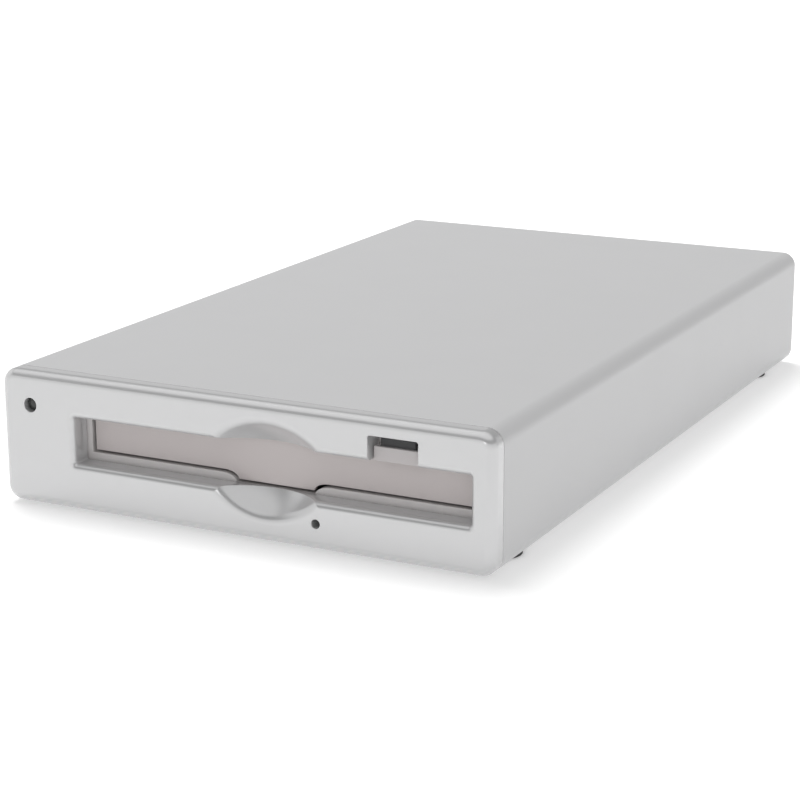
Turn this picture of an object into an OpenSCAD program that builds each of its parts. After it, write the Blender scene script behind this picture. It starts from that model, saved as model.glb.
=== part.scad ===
// External magneto-optical disc drive: a slim silver case around a 3.5 inch cartridge mechanism.
// Millimetres. X runs to the right as seen from the front, Y to the back, Z up from the table.
// The origin is on the table, below the middle of the case.

/* [Case] */
// Width of the case
case_w = 120; // [118:0.5:130]
// Depth of the case, front to back
case_d = 200; // [198:1:230]
// Height of the case without its feet
case_h = 30.4; // [30.2:0.1:33]
// Thickness of the metal cover
case_wall = 1.2; // [1:0.1:1.4]
// Corner radius of the four long edges
edge_r = 3.5; // [3:0.1:4.5]
// Rounding round the front face
front_r = 2.2; // [1.2:0.1:2.6]
// Height of the rubber feet below the case
foot_h = 0.6; // [0.4:0.1:2]
// Radius of a rubber foot
foot_r = 5; // [4:0.1:6]
// Width of the cover's return under each long side
return_w = 14; // [13:0.5:16]
// Thickness of the base plate
base_t = 1.2; // [1:0.1:1.4]

/* [Front] */
// Depth of the drive's own bezel behind the front face
face_recess = 5.4; // [5.2:0.1:6]
// Wall thickness of the front face
face_t = 2.4; // [2:0.1:2.8]
// Depth of the front bezel's visible rim
bezel_d = 4.5; // [4:0.1:5]
// Height of the window
window_h = 10.45; // [10.2:0.05:10.8]
// Rounding of the window's lip
lip_r = 1.1; // [0.6:0.1:1.3]
// Radius of the scoop's lower arc on the face
scoop_low_r = 17.6; // [17:0.1:18]
// Radius of the scoop's upper arc on the face
scoop_top_r = 19.1; // [18.5:0.1:19.5]
// Radius of the indicator hole
led_hole_r = 1.6; // [1.4:0.1:2]
// Radius of the emergency-eject hole
pinhole_r = 1; // [0.8:0.1:1.2]

/* [Cartridge] */
// Width of the disc cartridge
cart_w = 90; // [89:0.1:91]
// Depth of the disc cartridge
cart_d = 94; // [93:0.1:95]
// Thickness of the disc cartridge
cart_h = 6; // [5.8:0.1:6.1]

/* [Mechanism] */
// Travel of the eject button
button_travel = 1.5; // [1:0.1:1.5]
// Drop of the cartridge holder onto the turntable
load_drop = 2.8; // [2.4:0.1:2.8]
// Radius of the turntable
turntable_r = 11; // [10:0.1:11.5]
// Gear module, pitch diameter for each tooth
gear_m = 0.5; // [0.48:0.01:0.52]
// Radius of the two rails that carry the pickup
rail_r = 1; // [0.8:0.1:1.2]
// Distance of the lens from the spindle at rest
lens_reach = 24; // [23:0.1:25]

/* [Hidden] */
$fn = 48;

// Overrun of every cut past the surface that it opens
over = 0.5;
// Clearances: a shaft in its bore on the radius, moving pieces, fixed pieces that drop together
run_gap = 0.05;
gap = 0.3;
fit_gap = 0.1;

// Case levels and its front rim, with the spigot that slides into the cover
front_y = -case_d / 2;
back_y = case_d / 2;
case_mid = foot_h + case_h / 2;
spigot_t = 0.8;
spigot_l = 5;
spigot_corner = 0.6;
rim_screw_in = 2.9;
rim_in = case_wall + fit_gap + spigot_t;
rim_y = front_y + bezel_d;
cover_y = rim_y + fit_gap;
base_z = foot_h + case_wall;
base_y0 = rim_y + spigot_l + gap;

// Rear panel, set into the back of the cover
panel_t = 1.5;
panel_in = 1;
panel_y1 = back_y - panel_in;
panel_y0 = panel_y1 - panel_t;
flange_l = 8;
flange_w = 84;

// Mechanism: stands on the base plate, with room beside it on the left
side_gap = 1.2;
top_gap = 1.4;
mech_side = 5.8;
mech_d_share = 0.75;
mech_d = case_d * mech_d_share;
mech_w = cart_w + 2 * mech_side;
mech_x = case_w / 2 - case_wall - side_gap - mech_w / 2;
mech_z = base_z + base_t;
mech_top = foot_h + case_h - case_wall - top_gap;
mech_y = front_y + face_recess;
mech_back = mech_y + mech_d;
drive_bezel_t = 2.4;
chassis_y0 = mech_y + drive_bezel_t;
wall_t = 1.4;
wall_x = mech_w / 2 - wall_t;
floor_rise = 5;
floor_t = 1.2;
floor_z = mech_z + floor_rise;
deck_z = floor_z + floor_t;
lid_t = 0.8;
lid_z = mech_top - lid_t;

// Cartridge in its raised place, just behind the flap
slot_rise = 10.3;
cart_set = 4.1;
cart_z = mech_z + slot_rise;
cart_y0 = mech_y + cart_set;

// Dust flap, hinged along its top edge
flap_side = 1.2;
flap_w = cart_w + 2 * flap_side;
flap_t = 1.2;
flap_set = 0.3;
flap_z = cart_z - fit_gap;
flap_rise = 9;
barrel_r = 0.75;
pin_r = 0.6;
pin_l = 1;
flap_y = mech_y + flap_set;
axis_y = flap_y + barrel_r + run_gap;
axis_z = flap_z + flap_rise;
tongue_w = 18.6;
tongue_top_w = 26;
tongue_drop = 1.8;
tongue_steps = 8;
slot_top = axis_z + barrel_r + gap;

// Torsion spring of the flap, in a cut near the flap's left end
coil_x0 = 8;
coil_w = 5;
coil_cut = 1.7;
flap_wire_r = 0.12;
flap_coil_r = pin_r + flap_wire_r * 2;
flap_coil_turns = 6;
flap_leg = 4;
ledge_t = 0.8;
ledge_l = 2.7;

// Window, finger scoop and notch in the front bezel
window_side = 1.6;
window_drop = 1.95;
window_w = flap_w + 2 * window_side;
window_z0 = flap_z - window_drop;
window_z1 = window_z0 + window_h;
window_mid = (window_z0 + window_z1) / 2;
lip_steps = 5;
tunnel_gap = 0.2;
tunnel_d = face_recess - tunnel_gap;
tunnel_wall = 1.6;
scoop_off = 0.5;
scoop_x = mech_x + scoop_off;
scoop_low_rise = 12.35;
scoop_top_rise = 13.9;
scoop_wall = 1.5;
notch_w = 11.4;
notch_off = 30.5;
notch_h = 5.5;
notch_x = mech_x + notch_off;

// Distance in front of the face of a dish's centre, from its arc on the face and its depth at the window
function dish_out(arc_r, rise) = (arc_r * arc_r - rise * rise - tunnel_d * tunnel_d) / (2 * tunnel_d);
low_out = dish_out(scoop_low_r, scoop_low_rise);
top_out = dish_out(scoop_top_r, scoop_top_rise);
low_ball_r = norm([scoop_low_r, low_out]);
top_ball_r = norm([scoop_top_r, top_out]);

// Eject button: a cap in the notch, a riser behind it and a stem that passes over the flap's hinge
button_side = 0.45;
button_h = 3.1;
button_t = 1.5;
button_in = 2;
button_low = 0.15;
riser_w = 8;
riser_t = 0.8;
stem_w = 6;
stem_h = 1.8;
stem_l = 9;
stem_gap = 0.2;
stem_rise = 2.4;
tail_r = 0.8;
tail_l = 7;
button_w = notch_w - 2 * button_side;
button_y = front_y + button_in;
button_z = window_z1 - button_low;
stem_z = axis_z + stem_rise;
stem_mid = stem_z + stem_h / 2;
stem_y0 = button_y + button_t;
stem_y1 = stem_y0 + stem_l;
tail_y1 = stem_y1 + tail_l;
button_wire_r = 0.15;
button_coil_r = tail_r + button_wire_r * 2.5;
button_coil_turns = 6;
button_coil_l = 4.4;
bracket_w = 8;
bracket_t = 0.8;
bracket_low = 0.6;
bracket_y = stem_y1 + button_coil_l + fit_gap;
plunger_r = 0.7;
plunger_l = 1.2;
switch_w = 6;
switch_d = 3.5;
switch_y = tail_y1 + button_travel + gap + plunger_l;

// Indicator and emergency eject
led_inset = 7.8;
led_down = 7.6;
led_x = -case_w / 2 + led_inset;
led_z = foot_h + case_h - led_down;
pipe_in = 1;
pipe_flange_r = 2.6;
pipe_flange_t = 0.8;
led_r = 1.2;
led_l = 0.9;
led_board_w = 9.6;
led_board_h = 12;
led_board_t = 1.2;
led_board_top = 3;
led_post_r = 1.3;
led_post_x = 3.2;
led_post_drop = 6;
pinhole_off = 12.5;
pinhole_x = mech_x + pinhole_off;
pinhole_z = foot_h + edge_r + face_t;

// Screws and feet
screw_r = 1.25;
screw_head_r = 2.3;
screw_head_h = 1;
small_r = 0.8;
small_head_r = 1.6;
small_head_h = 0.6;
small_l = 5;
return_mid = case_w / 2 - return_w / 2;
screw_in = 10;
foot_in = 18;
mount_in = 3.2;
mount_boss_r = 2.6;
mount_front = 18;
mount_back = 14;
flange_screw_x = 30;

// Cartridge holder, a sheet cage on four pins
sheet = 0.6;
cart_gap = 0.3;
lip_gap = 0.2;
lip_w = 6;
holder_set = 14.1;
holder_w = cart_w + 2 * cart_gap;
holder_y0 = mech_y + holder_set;
holder_y1 = cart_y0 + cart_d + cart_gap;
holder_z0 = cart_z - lip_gap - sheet;
holder_z1 = cart_z + cart_h + cart_gap;
guide_r = 1.2;
guide_up = 0.5;
guide_z = cart_z + cart_h / 2 + guide_up;
guide_in = 12.5;
guide_y0 = holder_y0 + guide_in;
guide_y1 = holder_y1 - guide_in;
guide_x = wall_x + sheet;
holder_win_w = 24;
holder_win_in = 12;

// Slide plate: lies over the holder, two side flanges with ramp slots, and a rack at the back
ramp_share = 2;
slide_travel = load_drop * ramp_share;
slide_t = 0.8;
slide_side = 1.1;
slide_set = 2.5;
slide_l = 74;
slide_strip = 12;
slide_arm_w = 28.3;
slide_rise = 2.2;
slide_drop = 11.4;
slide_x = wall_x - slide_side;
slide_arm_x = slide_x - slide_arm_w;
slide_y0 = holder_y0 + slide_set;
slide_y1 = slide_y0 + slide_l;
slide_z = holder_z1 + sheet + slide_rise;
slide_z0 = slide_z - slide_drop;
runner_gap = 0.2;

// Loading train: motor pinion, two-step idler and the rack
big_teeth = 30;
small_teeth = 12;
pinion_teeth = 10;
rack_teeth = 11;
rack_ahead_teeth = 7;
pressure_angle = 25;
train_angle = 45;
addendum_share = 0.75;
dedendum_share = 1;
backlash_share = 0.2;
flank_steps = 4;
mesh_gap = 0.03;
rack_side = 19.4;
rack_x = wall_x - rack_side;
rack_w = 3.5;
rack_t = 1.4;
rack_end = 7.5;
gear_set = 10.2;
gear_x = rack_x + small_teeth * gear_m / 2 + mesh_gap;
gear_y = holder_y1 + gear_set;
motor_reach = (big_teeth + pinion_teeth) * gear_m / 2 + mesh_gap;
motor_x = gear_x + motor_reach * cos(train_angle);
motor_y = gear_y + motor_reach * sin(train_angle);
gear_plate_t = 0.8;
gear_plate_gap = 0.8;
gear_plate_front = 7.5;
gear_plate_back = 13.5;
gear_plate_side = 6.5;
gear_plate_z1 = slide_z - gear_plate_gap;
gear_plate_z0 = gear_plate_z1 - gear_plate_t;
gear_plate_x0 = gear_x - gear_plate_side;
gear_plate_x1 = wall_x - runner_gap;
gear_plate_y0 = gear_y - gear_plate_front;
gear_plate_y1 = gear_y + gear_plate_back;
gear_leg_t = 1.2;
gear_leg_w = 2.2;
gear_leg_in = 6;
gear_post_r = 1;
gear_post_l = 4.7;
small_wheel_t = 2.5;
big_wheel_t = 1.2;
small_wheel_z = gear_plate_z1 + gap;
big_wheel_z = small_wheel_z + small_wheel_t;
pinion_over = 0.2;
motor_r = 5;
motor_boss_r = 1.5;
motor_shaft_r = 0.75;
motor_shaft_in = 4;

// Spindle motor and turntable
spindle_y = cart_y0 + cart_d / 2;
motor_base_t = 0.6;
stator_r = 8;
stator_h = 0.8;
bearing_r = 2.6;
bearing_up = 1.6;
bearing_down = 1.4;
shaft_r = 1.5;
table_rise = 1.9;
table_t = 0.9;
skirt_t = 0.9;
skirt_h = 0.9;
hub_r = 2;
hub_h = 0.7;

// Pickup: carriage on two rails, a voice coil on each side, in an opening of the chassis deck
lens_y = spindle_y + lens_reach;
deck_hole_x = 33;
deck_hole_gap = 0.5;
deck_end = 21.4;
deck_hole_y0 = spindle_y + turntable_r + deck_hole_gap;
deck_hole_y1 = mech_back - deck_end;
deck_hole_l = deck_hole_y1 - deck_hole_y0;
rail_x = 15;
rail_z = deck_z - floor_t / 2;
rail_seat = 2;
carriage_x = 12.5;
carriage_front = 8;
carriage_back = 9;
carriage_down = 1.6;
carriage_up = 0.8;
block_x = 17.2;
block_y = 7;
block_up = 1.6;
well_x = 5;
well_y = 5;
well_floor = 0.8;
beam_r = 1.5;
arm_x = 21.2;
arm_y = 3;
arm_h = 0.75;
coil_x = 24;
coil_half_w = 2.8;
coil_half_h = 2.15;
coil_hole_w = 1.6;
coil_hole_h = 1.5;
coil_half_l = 4;
coil_sink = 0.55;
coil_z = rail_z - coil_sink;
bar_half = 1.2;
yoke_x0 = 30;
yoke_x1 = 31.4;
yoke_end = 2;
magnet_t = 1.8;
magnet_in = 8;
magnet_half_h = 1.6;
lens_x = 4.2;
lens_holder_z = floor_z - fit_gap;
lens_holder_h = 2;
lens_r = 2.25;
lens_seat = 1.3;
lens_stop_r = 1.8;
lens_ball_r = 4;
lens_t = 1.7;

// Fixed optics at the back of the deck
optics_x = 18;
optics_gap = 2.5;
optics_d = 10.5;
optics_h = 6.8;
optics_foot_x = 13;
optics_y0 = deck_hole_y1 + optics_gap;
optics_y1 = optics_y0 + optics_d;
diode_r = 2.8;
diode_l = 4;
diode_up = 3.4;
detector_t = 1.5;
detector_h = 6;
detector_up = 0.4;

// Bias coil under the drive's lid
bias_core_x = 3;
bias_x = 8;
bias_l = 34;
bias_h = 6.6;
bias_plate_t = 0.8;
bias_back = 6;

// Circuit boards and their parts
pcb_t = 1.4;
drive_pcb_up = 0.8;
pcb_side = 4.8;
drive_pcb_x = wall_x - pcb_side;
drive_pcb_in = 8.2;
drive_pcb_z = mech_z + drive_pcb_up;
pcb_top = drive_pcb_z + pcb_t;
pcb_boss_in = 4.6;
pcb_boss_x = drive_pcb_x - pcb_boss_in;
pcb_boss_r = 2.2;
pcb_boss_front = 16.2;
pcb_boss_back = 11.4;
pcb_screw_l = 4;
post_side = 0.9;
post_r = 1.8;
post_in = 4.2;
post_x = wall_x - post_side;
back_post_side = 2.9;
back_post_r = 2.4;
back_post_in = 5.4;
back_post_x = wall_x - back_post_side;
chip_t = 1.4;
header_x = 26;
header_in = 5.9;
header_out = 2;
header_wall = 2;
header_floor = 0.9;
header_h = 7.8;
header_y0 = mech_back - header_in;
header_y1 = mech_back + header_out;
bridge_up = 2;
bridge_side = 6;
bridge_gap = 3.6;
bridge_back = 2.5;
bridge_z = mech_z + bridge_up;
bridge_top = bridge_z + pcb_t;
bridge_x = case_w / 2 - bridge_side;
bridge_y0 = mech_back + bridge_gap;
bridge_y1 = panel_y0 - bridge_back;
plug_l = 11.5;
plug_h = 5.7;
standoff_r = 2.6;
standoff_side = 6;
standoff_in = 4;
standoff_back = 15;
cap_r = 3.2;
cap_h = 9;

// Rear sockets: place, width, height and depth
sock_out = 0.2;
sock_depth = 9;
tongue_in = 0.8;
usb_off = 38;
usb_x = usb_off - case_w / 2;
usb_w = 12;
usb_h = 10.8;
usb_d = 16;
usb_hole_w = 8.45;
usb_hole_h = 7.78;
usb_tongue_w = 5.6;
usb_tongue_h = 3.2;
wire_x = [-4, 12];
wire_w = 13.2;
wire_h = 6.8;
wire_d = 15;
wire_hole_w = 11.2;
wire_hole_h = 5.2;
wire_tongue_w = 8;
wire_tongue_h = 1.8;
jack_side = 12;
jack_x = case_w / 2 - jack_side;
jack_w = 9;
jack_h = 11;
jack_d = 14;
jack_hole_r = 3.1;
jack_pin_r = 1;
lock_off = 18;
lock_x = lock_off - case_w / 2;
lock_w = 7;
lock_h = 3;
lock_up = 8.4;
lock_z = foot_h + lock_up;
vent_count = 13;
vent_x = -34;
vent_step = 4;
vent_w = 1.8;
vent_h = 7;
vent_down = 12;
vent_z = foot_h + case_h - vent_down;

// Rocker switch in the rear panel
switch_side = 29;
switch_x = case_w / 2 - switch_side;
switch_up = 1.2;
switch_z = case_mid + switch_up;
switch_case_w = 19;
switch_case_h = 12.6;
switch_case_d = 12.5;
switch_rim = 1.2;
switch_rim_t = 0.9;
switch_hole_w = 15.6;
switch_hole_h = 9.2;
switch_hole_d = 5;
rocker_w = 14.4;
rocker_h = 8.6;
rocker_pin_r = 0.8;
rocker_in = 2.2;
rocker_tip = 1.6;
rocker_dip = 0.6;
rocker_skirt = 0.6;
rocker_back = 2.2;
rocker_back_w = 6;
rocker_tilt = 8;

silver = [0.79, 0.79, 0.8];
bezel_silver = [0.82, 0.82, 0.83];
flap_grey = [0.72, 0.69, 0.69];
steel = [0.7, 0.71, 0.73];
cast_grey = [0.6, 0.61, 0.62];
board_green = [0.1, 0.36, 0.2];
plastic_black = [0.12, 0.12, 0.13];

// Box between two corners
module box(lo, hi) {
    translate(lo) cube(hi - lo);
}

// Round bars that start at a point and run along one axis
module rod_x(at, r, l) {
    translate(at) rotate([0, 90, 0]) cylinder(r = r, h = l);
}
module rod_y(at, r, l) {
    translate(at) rotate([-90, 0, 0]) cylinder(r = r, h = l);
}
module rod_z(at, r, l) {
    translate(at) cylinder(r = r, h = l);
}

// Outline in X and Z drawn from y0 to y1, and outline in Y and Z drawn from x0 to x1
module along_y(y0, y1) {
    translate([0, y1, 0]) rotate([90, 0, 0]) linear_extrude(y1 - y0) children();
}
module along_x(x0, x1) {
    translate([x0, 0, 0]) rotate([90, 0, 90]) linear_extrude(x1 - x0) children();
}

// Both sides of the mechanism's middle plane, and the mechanism's place in the case
module both() {
    children();
    mirror([1, 0, 0]) children();
}
module at_mech() {
    translate([mech_x, 0, 0]) children();
}

module round_rect(w, h, r) {
    square([w - 2 * r, h], center = true);
    square([w, h - 2 * r], center = true);
    for (x = [-1, 1], y = [-1, 1])
        translate([x * (w / 2 - r), y * (h / 2 - r)]) circle(r = r);
}

// Slot of half width r from the origin to a point
module slot_2d(r, to) {
    circle(r = r);
    translate(to) circle(r = r);
    rotate(atan2(to[1], to[0])) translate([0, -r]) square([norm(to), 2 * r]);
}

// Outline of the case, moved in by a wall
module case_outline(inset) {
    translate([0, case_mid]) round_rect(case_w - 2 * inset, case_h - 2 * inset, edge_r - inset);
}
module spigot_hollow() {
    translate([0, case_mid]) round_rect(case_w - 2 * rim_in, case_h - 2 * rim_in, spigot_corner);
}

// Outlines in X and depth of a front edge rounded by fr: one corner of it, and the whole width
module rim_section(r, d, fr) {
    intersection() {
        union() {
            square([r - fr, d]);
            translate([0, fr]) square([r, d - fr]);
            translate([r - fr, fr]) circle(r = fr);
        }
        square([r, d]);
    }
}
module slab_2d(w, d, fr) {
    translate([fr - w / 2, 0]) square([w - 2 * fr, d]);
    translate([-w / 2, fr]) square([w, d - fr]);
    for (s = [-1, 1])
        translate([s * (w / 2 - fr), fr]) circle(r = fr);
}

// Block w by h by d with corner radius r and a front edge rounded by fr, its front at y = 0
module soft_block(w, h, d, r, fr) {
    linear_extrude(h - 2 * r, center = true) slab_2d(w, d, fr);
    rotate([0, 90, 0]) linear_extrude(w - 2 * r, center = true) slab_2d(h, d, fr);
    for (x = [-1, 1], z = [-1, 1])
        translate([x * (w / 2 - r), 0, z * (h / 2 - r)]) rotate([-90, 0, 0]) rotate_extrude() rim_section(r, d, fr);
}

// Countersunk screw that points up from z = 0, and the hole that takes it
module flat_screw(l) {
    cylinder(r1 = screw_head_r, r2 = screw_r, h = screw_head_h);
    cylinder(r = screw_r, h = l);
}
module flat_hole(l) {
    cylinder(r1 = screw_head_r, r2 = screw_r, h = screw_head_h);
    translate([0, 0, -over]) cylinder(r = screw_r, h = l + 2 * over);
}

// Small pan-head screw that points down from z = 0
module pan_screw(r, head_r, head_h, l) {
    cylinder(r = head_r, h = head_h);
    translate([0, 0, -l]) cylinder(r = r, h = l + head_h / 2);
}

// Places of the screws
function side_points(x, ys) = [for (s = [-1, 1], y = ys) [s * x, y]];
rear_screw_y = back_y - screw_in;
cover_points = side_points(return_mid, [0, rear_screw_y]);
rim_points = side_points(return_mid, [rim_y + rim_screw_in]);
flange_points = side_points(flange_screw_x, [panel_y0 - flange_l / 2]);
mount_points = side_points(mech_w / 2 - mount_in, [chassis_y0 + mount_front, mech_back - mount_back]);
pcb_points = side_points(pcb_boss_x, [chassis_y0 + pcb_boss_front, mech_back - pcb_boss_back]);
standoff_points = side_points(bridge_x - standoff_side, [bridge_y0 + standoff_in, bridge_y1 - standoff_back]);

// Unit vector, and a wire of radius wr swept along points, its section turned from a fixed direction
function unit(v) = v / norm(v);
function wire_ring(p, t, ref, wr, n) =
    let (u = unit(cross(t, ref)), v = cross(t, u))
    [for (k = [0:n - 1]) p + wr * (cos(360 * k / n) * u + sin(360 * k / n) * v)];
module wire(points, ref, wr, n = 6) {
    m = len(points);
    rings = [for (i = [0:m - 1])
        wire_ring(points[i], unit(points[min(i + 1, m - 1)] - points[max(i - 1, 0)]), ref, wr, n)];
    sides = [for (i = [0:m - 2], k = [0:n - 1])
        let (a = i * n + k, b = i * n + (k + 1) % n) each [[a, b, b + n], [a, b + n, a + n]]];
    caps = [for (k = [1:n - 2]) each [[0, k + 1, k], [(m - 1) * n, (m - 1) * n + k, (m - 1) * n + k + 1]]];
    polyhedron(points = [for (r = rings) each r], faces = concat(sides, caps));
}

// Involute gear outline with a tooth centred on the angle phase
function involute(a) = tan(a) * 180 / PI - a;
function gear_outline(teeth, phase) =
    let (rp = gear_m * teeth / 2, rb = rp * cos(pressure_angle),
        ra = rp + addendum_share * gear_m, rd = rp - dedendum_share * gear_m,
        half = 90 / teeth - backlash_share / teeth * 90 / PI + involute(pressure_angle),
        r0 = max(rb, rd),
        flank = [for (i = [0:flank_steps]) let (r = r0 + (ra - r0) * i / flank_steps)
            [r, half - involute(acos(min(1, rb / r)))]],
        side = concat([[rd, flank[0][1]]], flank),
        n = len(side))
    [for (t = [0:teeth - 1]) let (mid = phase + 360 * t / teeth)
        each concat(
            [for (i = [0:n - 1]) side[i][0] * [cos(mid - side[i][1]), sin(mid - side[i][1])]],
            [for (i = [n - 1:-1:0]) side[i][0] * [cos(mid + side[i][1]), sin(mid + side[i][1])]])];
module gear(teeth, phase, t) {
    linear_extrude(t) polygon(gear_outline(teeth, phase));
}

// Window, dishes and notch of the front bezel, grown by a wall
module window_cut(grow, y0, y1) {
    along_y(y0, y1) translate([mech_x, window_mid])
        square([window_w + 2 * grow, window_h + 2 * grow], center = true);
}
module scoop(grow, y0, y1) {
    x0 = mech_x - window_w / 2;
    x1 = mech_x + window_w / 2;
    intersection() {
        translate([scoop_x, front_y - low_out, window_z0 + scoop_low_rise]) sphere(r = low_ball_r + grow);
        box([x0, y0, foot_h + face_t], [x1, y1, window_mid]);
    }
    intersection() {
        translate([scoop_x, front_y - top_out, window_z1 - scoop_top_rise]) sphere(r = top_ball_r + grow);
        box([x0, y0, window_mid], [x1, y1, foot_h + case_h - face_t]);
    }
}
module notch_cut(grow, y0, y1) {
    box([notch_x - notch_w / 2 - grow, y0, window_mid], [notch_x + notch_w / 2 + grow, y1, window_z1 + notch_h + grow]);
}
// Mouth of the window: both outlines narrow by lip_r behind the face
module mouth_2d(w) {
    side = concat([[w / 2 + lip_r, -over]],
        [for (i = [0:lip_steps]) let (a = 90 * i / lip_steps) [w / 2 + lip_r * (1 - sin(a)), lip_r * (1 - cos(a))]],
        [[w / 2, lip_r + over]]);
    n = len(side);
    polygon(concat(side, [for (i = [n - 1:-1:0]) [-side[i][0], side[i][1]]]));
}
module window_mouth() {
    grow = 2 * (lip_r + over);
    translate([mech_x, front_y, window_mid]) intersection() {
        linear_extrude(window_h + grow, center = true) mouth_2d(window_w);
        rotate([0, 90, 0]) linear_extrude(window_w + grow, center = true) mouth_2d(window_h);
    }
}

module front_bezel() {
    back = front_y + tunnel_d;
    color(bezel_silver) difference() {
        union() {
            difference() {
                translate([0, front_y, case_mid]) soft_block(case_w, case_h, bezel_d, edge_r, front_r);
                along_y(front_y + face_t, rim_y + over) spigot_hollow();
            }
            along_y(front_y + face_t, rim_y + spigot_l) difference() {
                case_outline(case_wall + fit_gap);
                spigot_hollow();
            }
            window_cut(tunnel_wall, front_y + face_t / 2, back);
            notch_cut(tunnel_wall, front_y + face_t / 2, back);
            scoop(scoop_wall, front_y + face_t / 2, back);
            for (s = [-1, 1])
                rod_y([led_x + s * led_post_x, front_y + face_t / 2, led_z - led_post_drop], led_post_r,
                    face_recess - face_t / 2);
        }
        window_cut(0, front_y - over, back + over);
        notch_cut(0, front_y - over, back + over);
        scoop(0, front_y - over, back + over);
        window_mouth();
        rod_y([led_x, front_y - over, led_z], led_hole_r, face_t + 2 * over);
        rod_y([pinhole_x, front_y - over, pinhole_z], pinhole_r, face_t + 2 * over);
        for (p = rim_points)
            translate([p[0], p[1], foot_h]) cylinder(r = screw_r, h = base_t + case_wall);
    }
}

module top_cover() {
    color(silver) difference() {
        along_y(cover_y, back_y) difference() {
            case_outline(0);
            case_outline(case_wall);
            translate([0, foot_h]) square([case_w - 2 * return_w, 3 * case_wall], center = true);
        }
        for (p = concat(cover_points, rim_points))
            translate([p[0], p[1], foot_h]) flat_hole(base_t);
    }
}

module base_plate() {
    half = case_w / 2 - edge_r - fit_gap;
    color(steel) difference() {
        box([-half, base_y0, base_z], [half, panel_y0 - run_gap, base_z + base_t]);
        for (p = cover_points)
            translate([p[0], p[1], base_z - over]) cylinder(r = screw_r, h = base_t + 2 * over);
        for (p = flange_points)
            translate([p[0], p[1], base_z]) flat_hole(base_t);
        at_mech() for (p = mount_points)
            translate([p[0], p[1], base_z]) flat_hole(base_t);
        for (i = [0:vent_count - 1])
            translate([vent_x + vent_step * i, vent_x - vent_w, base_z - over])
                linear_extrude(base_t + 2 * over) slot_2d(vent_w / 2, [0, -vent_x]);
    }
}

module rear_panel() {
    inset = case_wall + fit_gap;
    sock_gap = fit_gap;
    color(cast_grey) difference() {
        union() {
            along_y(panel_y0, panel_y1) case_outline(inset);
            box([-flange_w / 2, panel_y0 - flange_l, mech_z], [flange_w / 2, panel_y0 + panel_t / 2, mech_z + base_t]);
        }
        for (p = flange_points)
            translate([p[0], p[1], mech_z - over]) cylinder(r = screw_r, h = base_t + 2 * over);
        translate([0, panel_y0 - over, bridge_top]) {
            through = panel_t + 2 * over;
            translate([usb_x - usb_w / 2 - sock_gap, 0, -sock_gap])
                cube([usb_w + 2 * sock_gap, through, usb_h + 2 * sock_gap]);
            for (x = wire_x)
                translate([x - wire_w / 2 - sock_gap, 0, -sock_gap])
                    cube([wire_w + 2 * sock_gap, through, wire_h + 2 * sock_gap]);
            translate([jack_x - jack_w / 2 - sock_gap, 0, -sock_gap])
                cube([jack_w + 2 * sock_gap, through, jack_h + 2 * sock_gap]);
        }
        along_y(panel_y0 - over, panel_y1 + over) {
            translate([switch_x, switch_z])
                square([switch_case_w + 2 * sock_gap, switch_case_h + 2 * sock_gap], center = true);
            translate([lock_x - (lock_w - lock_h) / 2, lock_z]) slot_2d(lock_h / 2, [lock_w - lock_h, 0]);
            for (i = [0:vent_count - 1])
                translate([vent_x + vent_step * i, vent_z]) slot_2d(vent_w / 2, [0, vent_h - vent_w]);
        }
    }
}

module rubber_feet() {
    color(plastic_black)
        for (p = side_points(return_mid, [front_y + foot_in, back_y - foot_in]))
            translate([p[0], p[1], 0]) cylinder(r = foot_r, h = foot_h);
}

module case_screws() {
    color(steel) {
        for (p = cover_points)
            translate([p[0], p[1], foot_h]) flat_screw(case_wall + base_t);
        for (p = rim_points)
            translate([p[0], p[1], foot_h]) flat_screw(case_wall + fit_gap + spigot_t);
        for (p = flange_points)
            translate([p[0], p[1], base_z]) flat_screw(2 * base_t);
    }
}

module light_pipe() {
    color([0.1, 0.12, 0.1]) {
        rod_y([led_x, front_y + pipe_in, led_z], led_hole_r - run_gap, face_t - pipe_in + pipe_flange_t);
        rod_y([led_x, front_y + face_t, led_z], pipe_flange_r, pipe_flange_t);
    }
}

module led_board() {
    color(board_green)
        box([led_x - led_board_w / 2, mech_y, led_z + led_board_top - led_board_h],
            [led_x + led_board_w / 2, mech_y + led_board_t, led_z + led_board_top]);
}

module status_led() {
    color([0.4, 0.8, 0.4]) {
        rod_y([led_x, mech_y - led_l, led_z], led_r, led_l);
        translate([led_x, mech_y - led_l, led_z]) intersection() {
            sphere(r = led_r);
            box([-led_r, -led_r, -led_r], [led_r, led_l / 2, led_r]);
        }
    }
}

// Flap's outline below its hinge, with the central tongue, grown by a clearance
module flap_outline(grow) {
    bottom = flap_z - grow;
    tip = bottom - tongue_drop;
    half = tongue_w / 2 + grow;
    top_half = tongue_top_w / 2 + grow;
    arc = [for (i = [0:tongue_steps]) let (a = 90 * i / tongue_steps)
        [half + (top_half - half) * (1 - sin(a)), bottom - tongue_drop * (1 - cos(a))]];
    translate([-flap_w / 2 - grow, bottom]) square([flap_w + 2 * grow, axis_z - bottom]);
    polygon(concat(
        [for (p = arc) p],
        [for (i = [tongue_steps:-1:0]) [-arc[i][0], arc[i][1]]],
        [[-top_half, bottom + flap_t], [top_half, bottom + flap_t]]));
}

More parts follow.
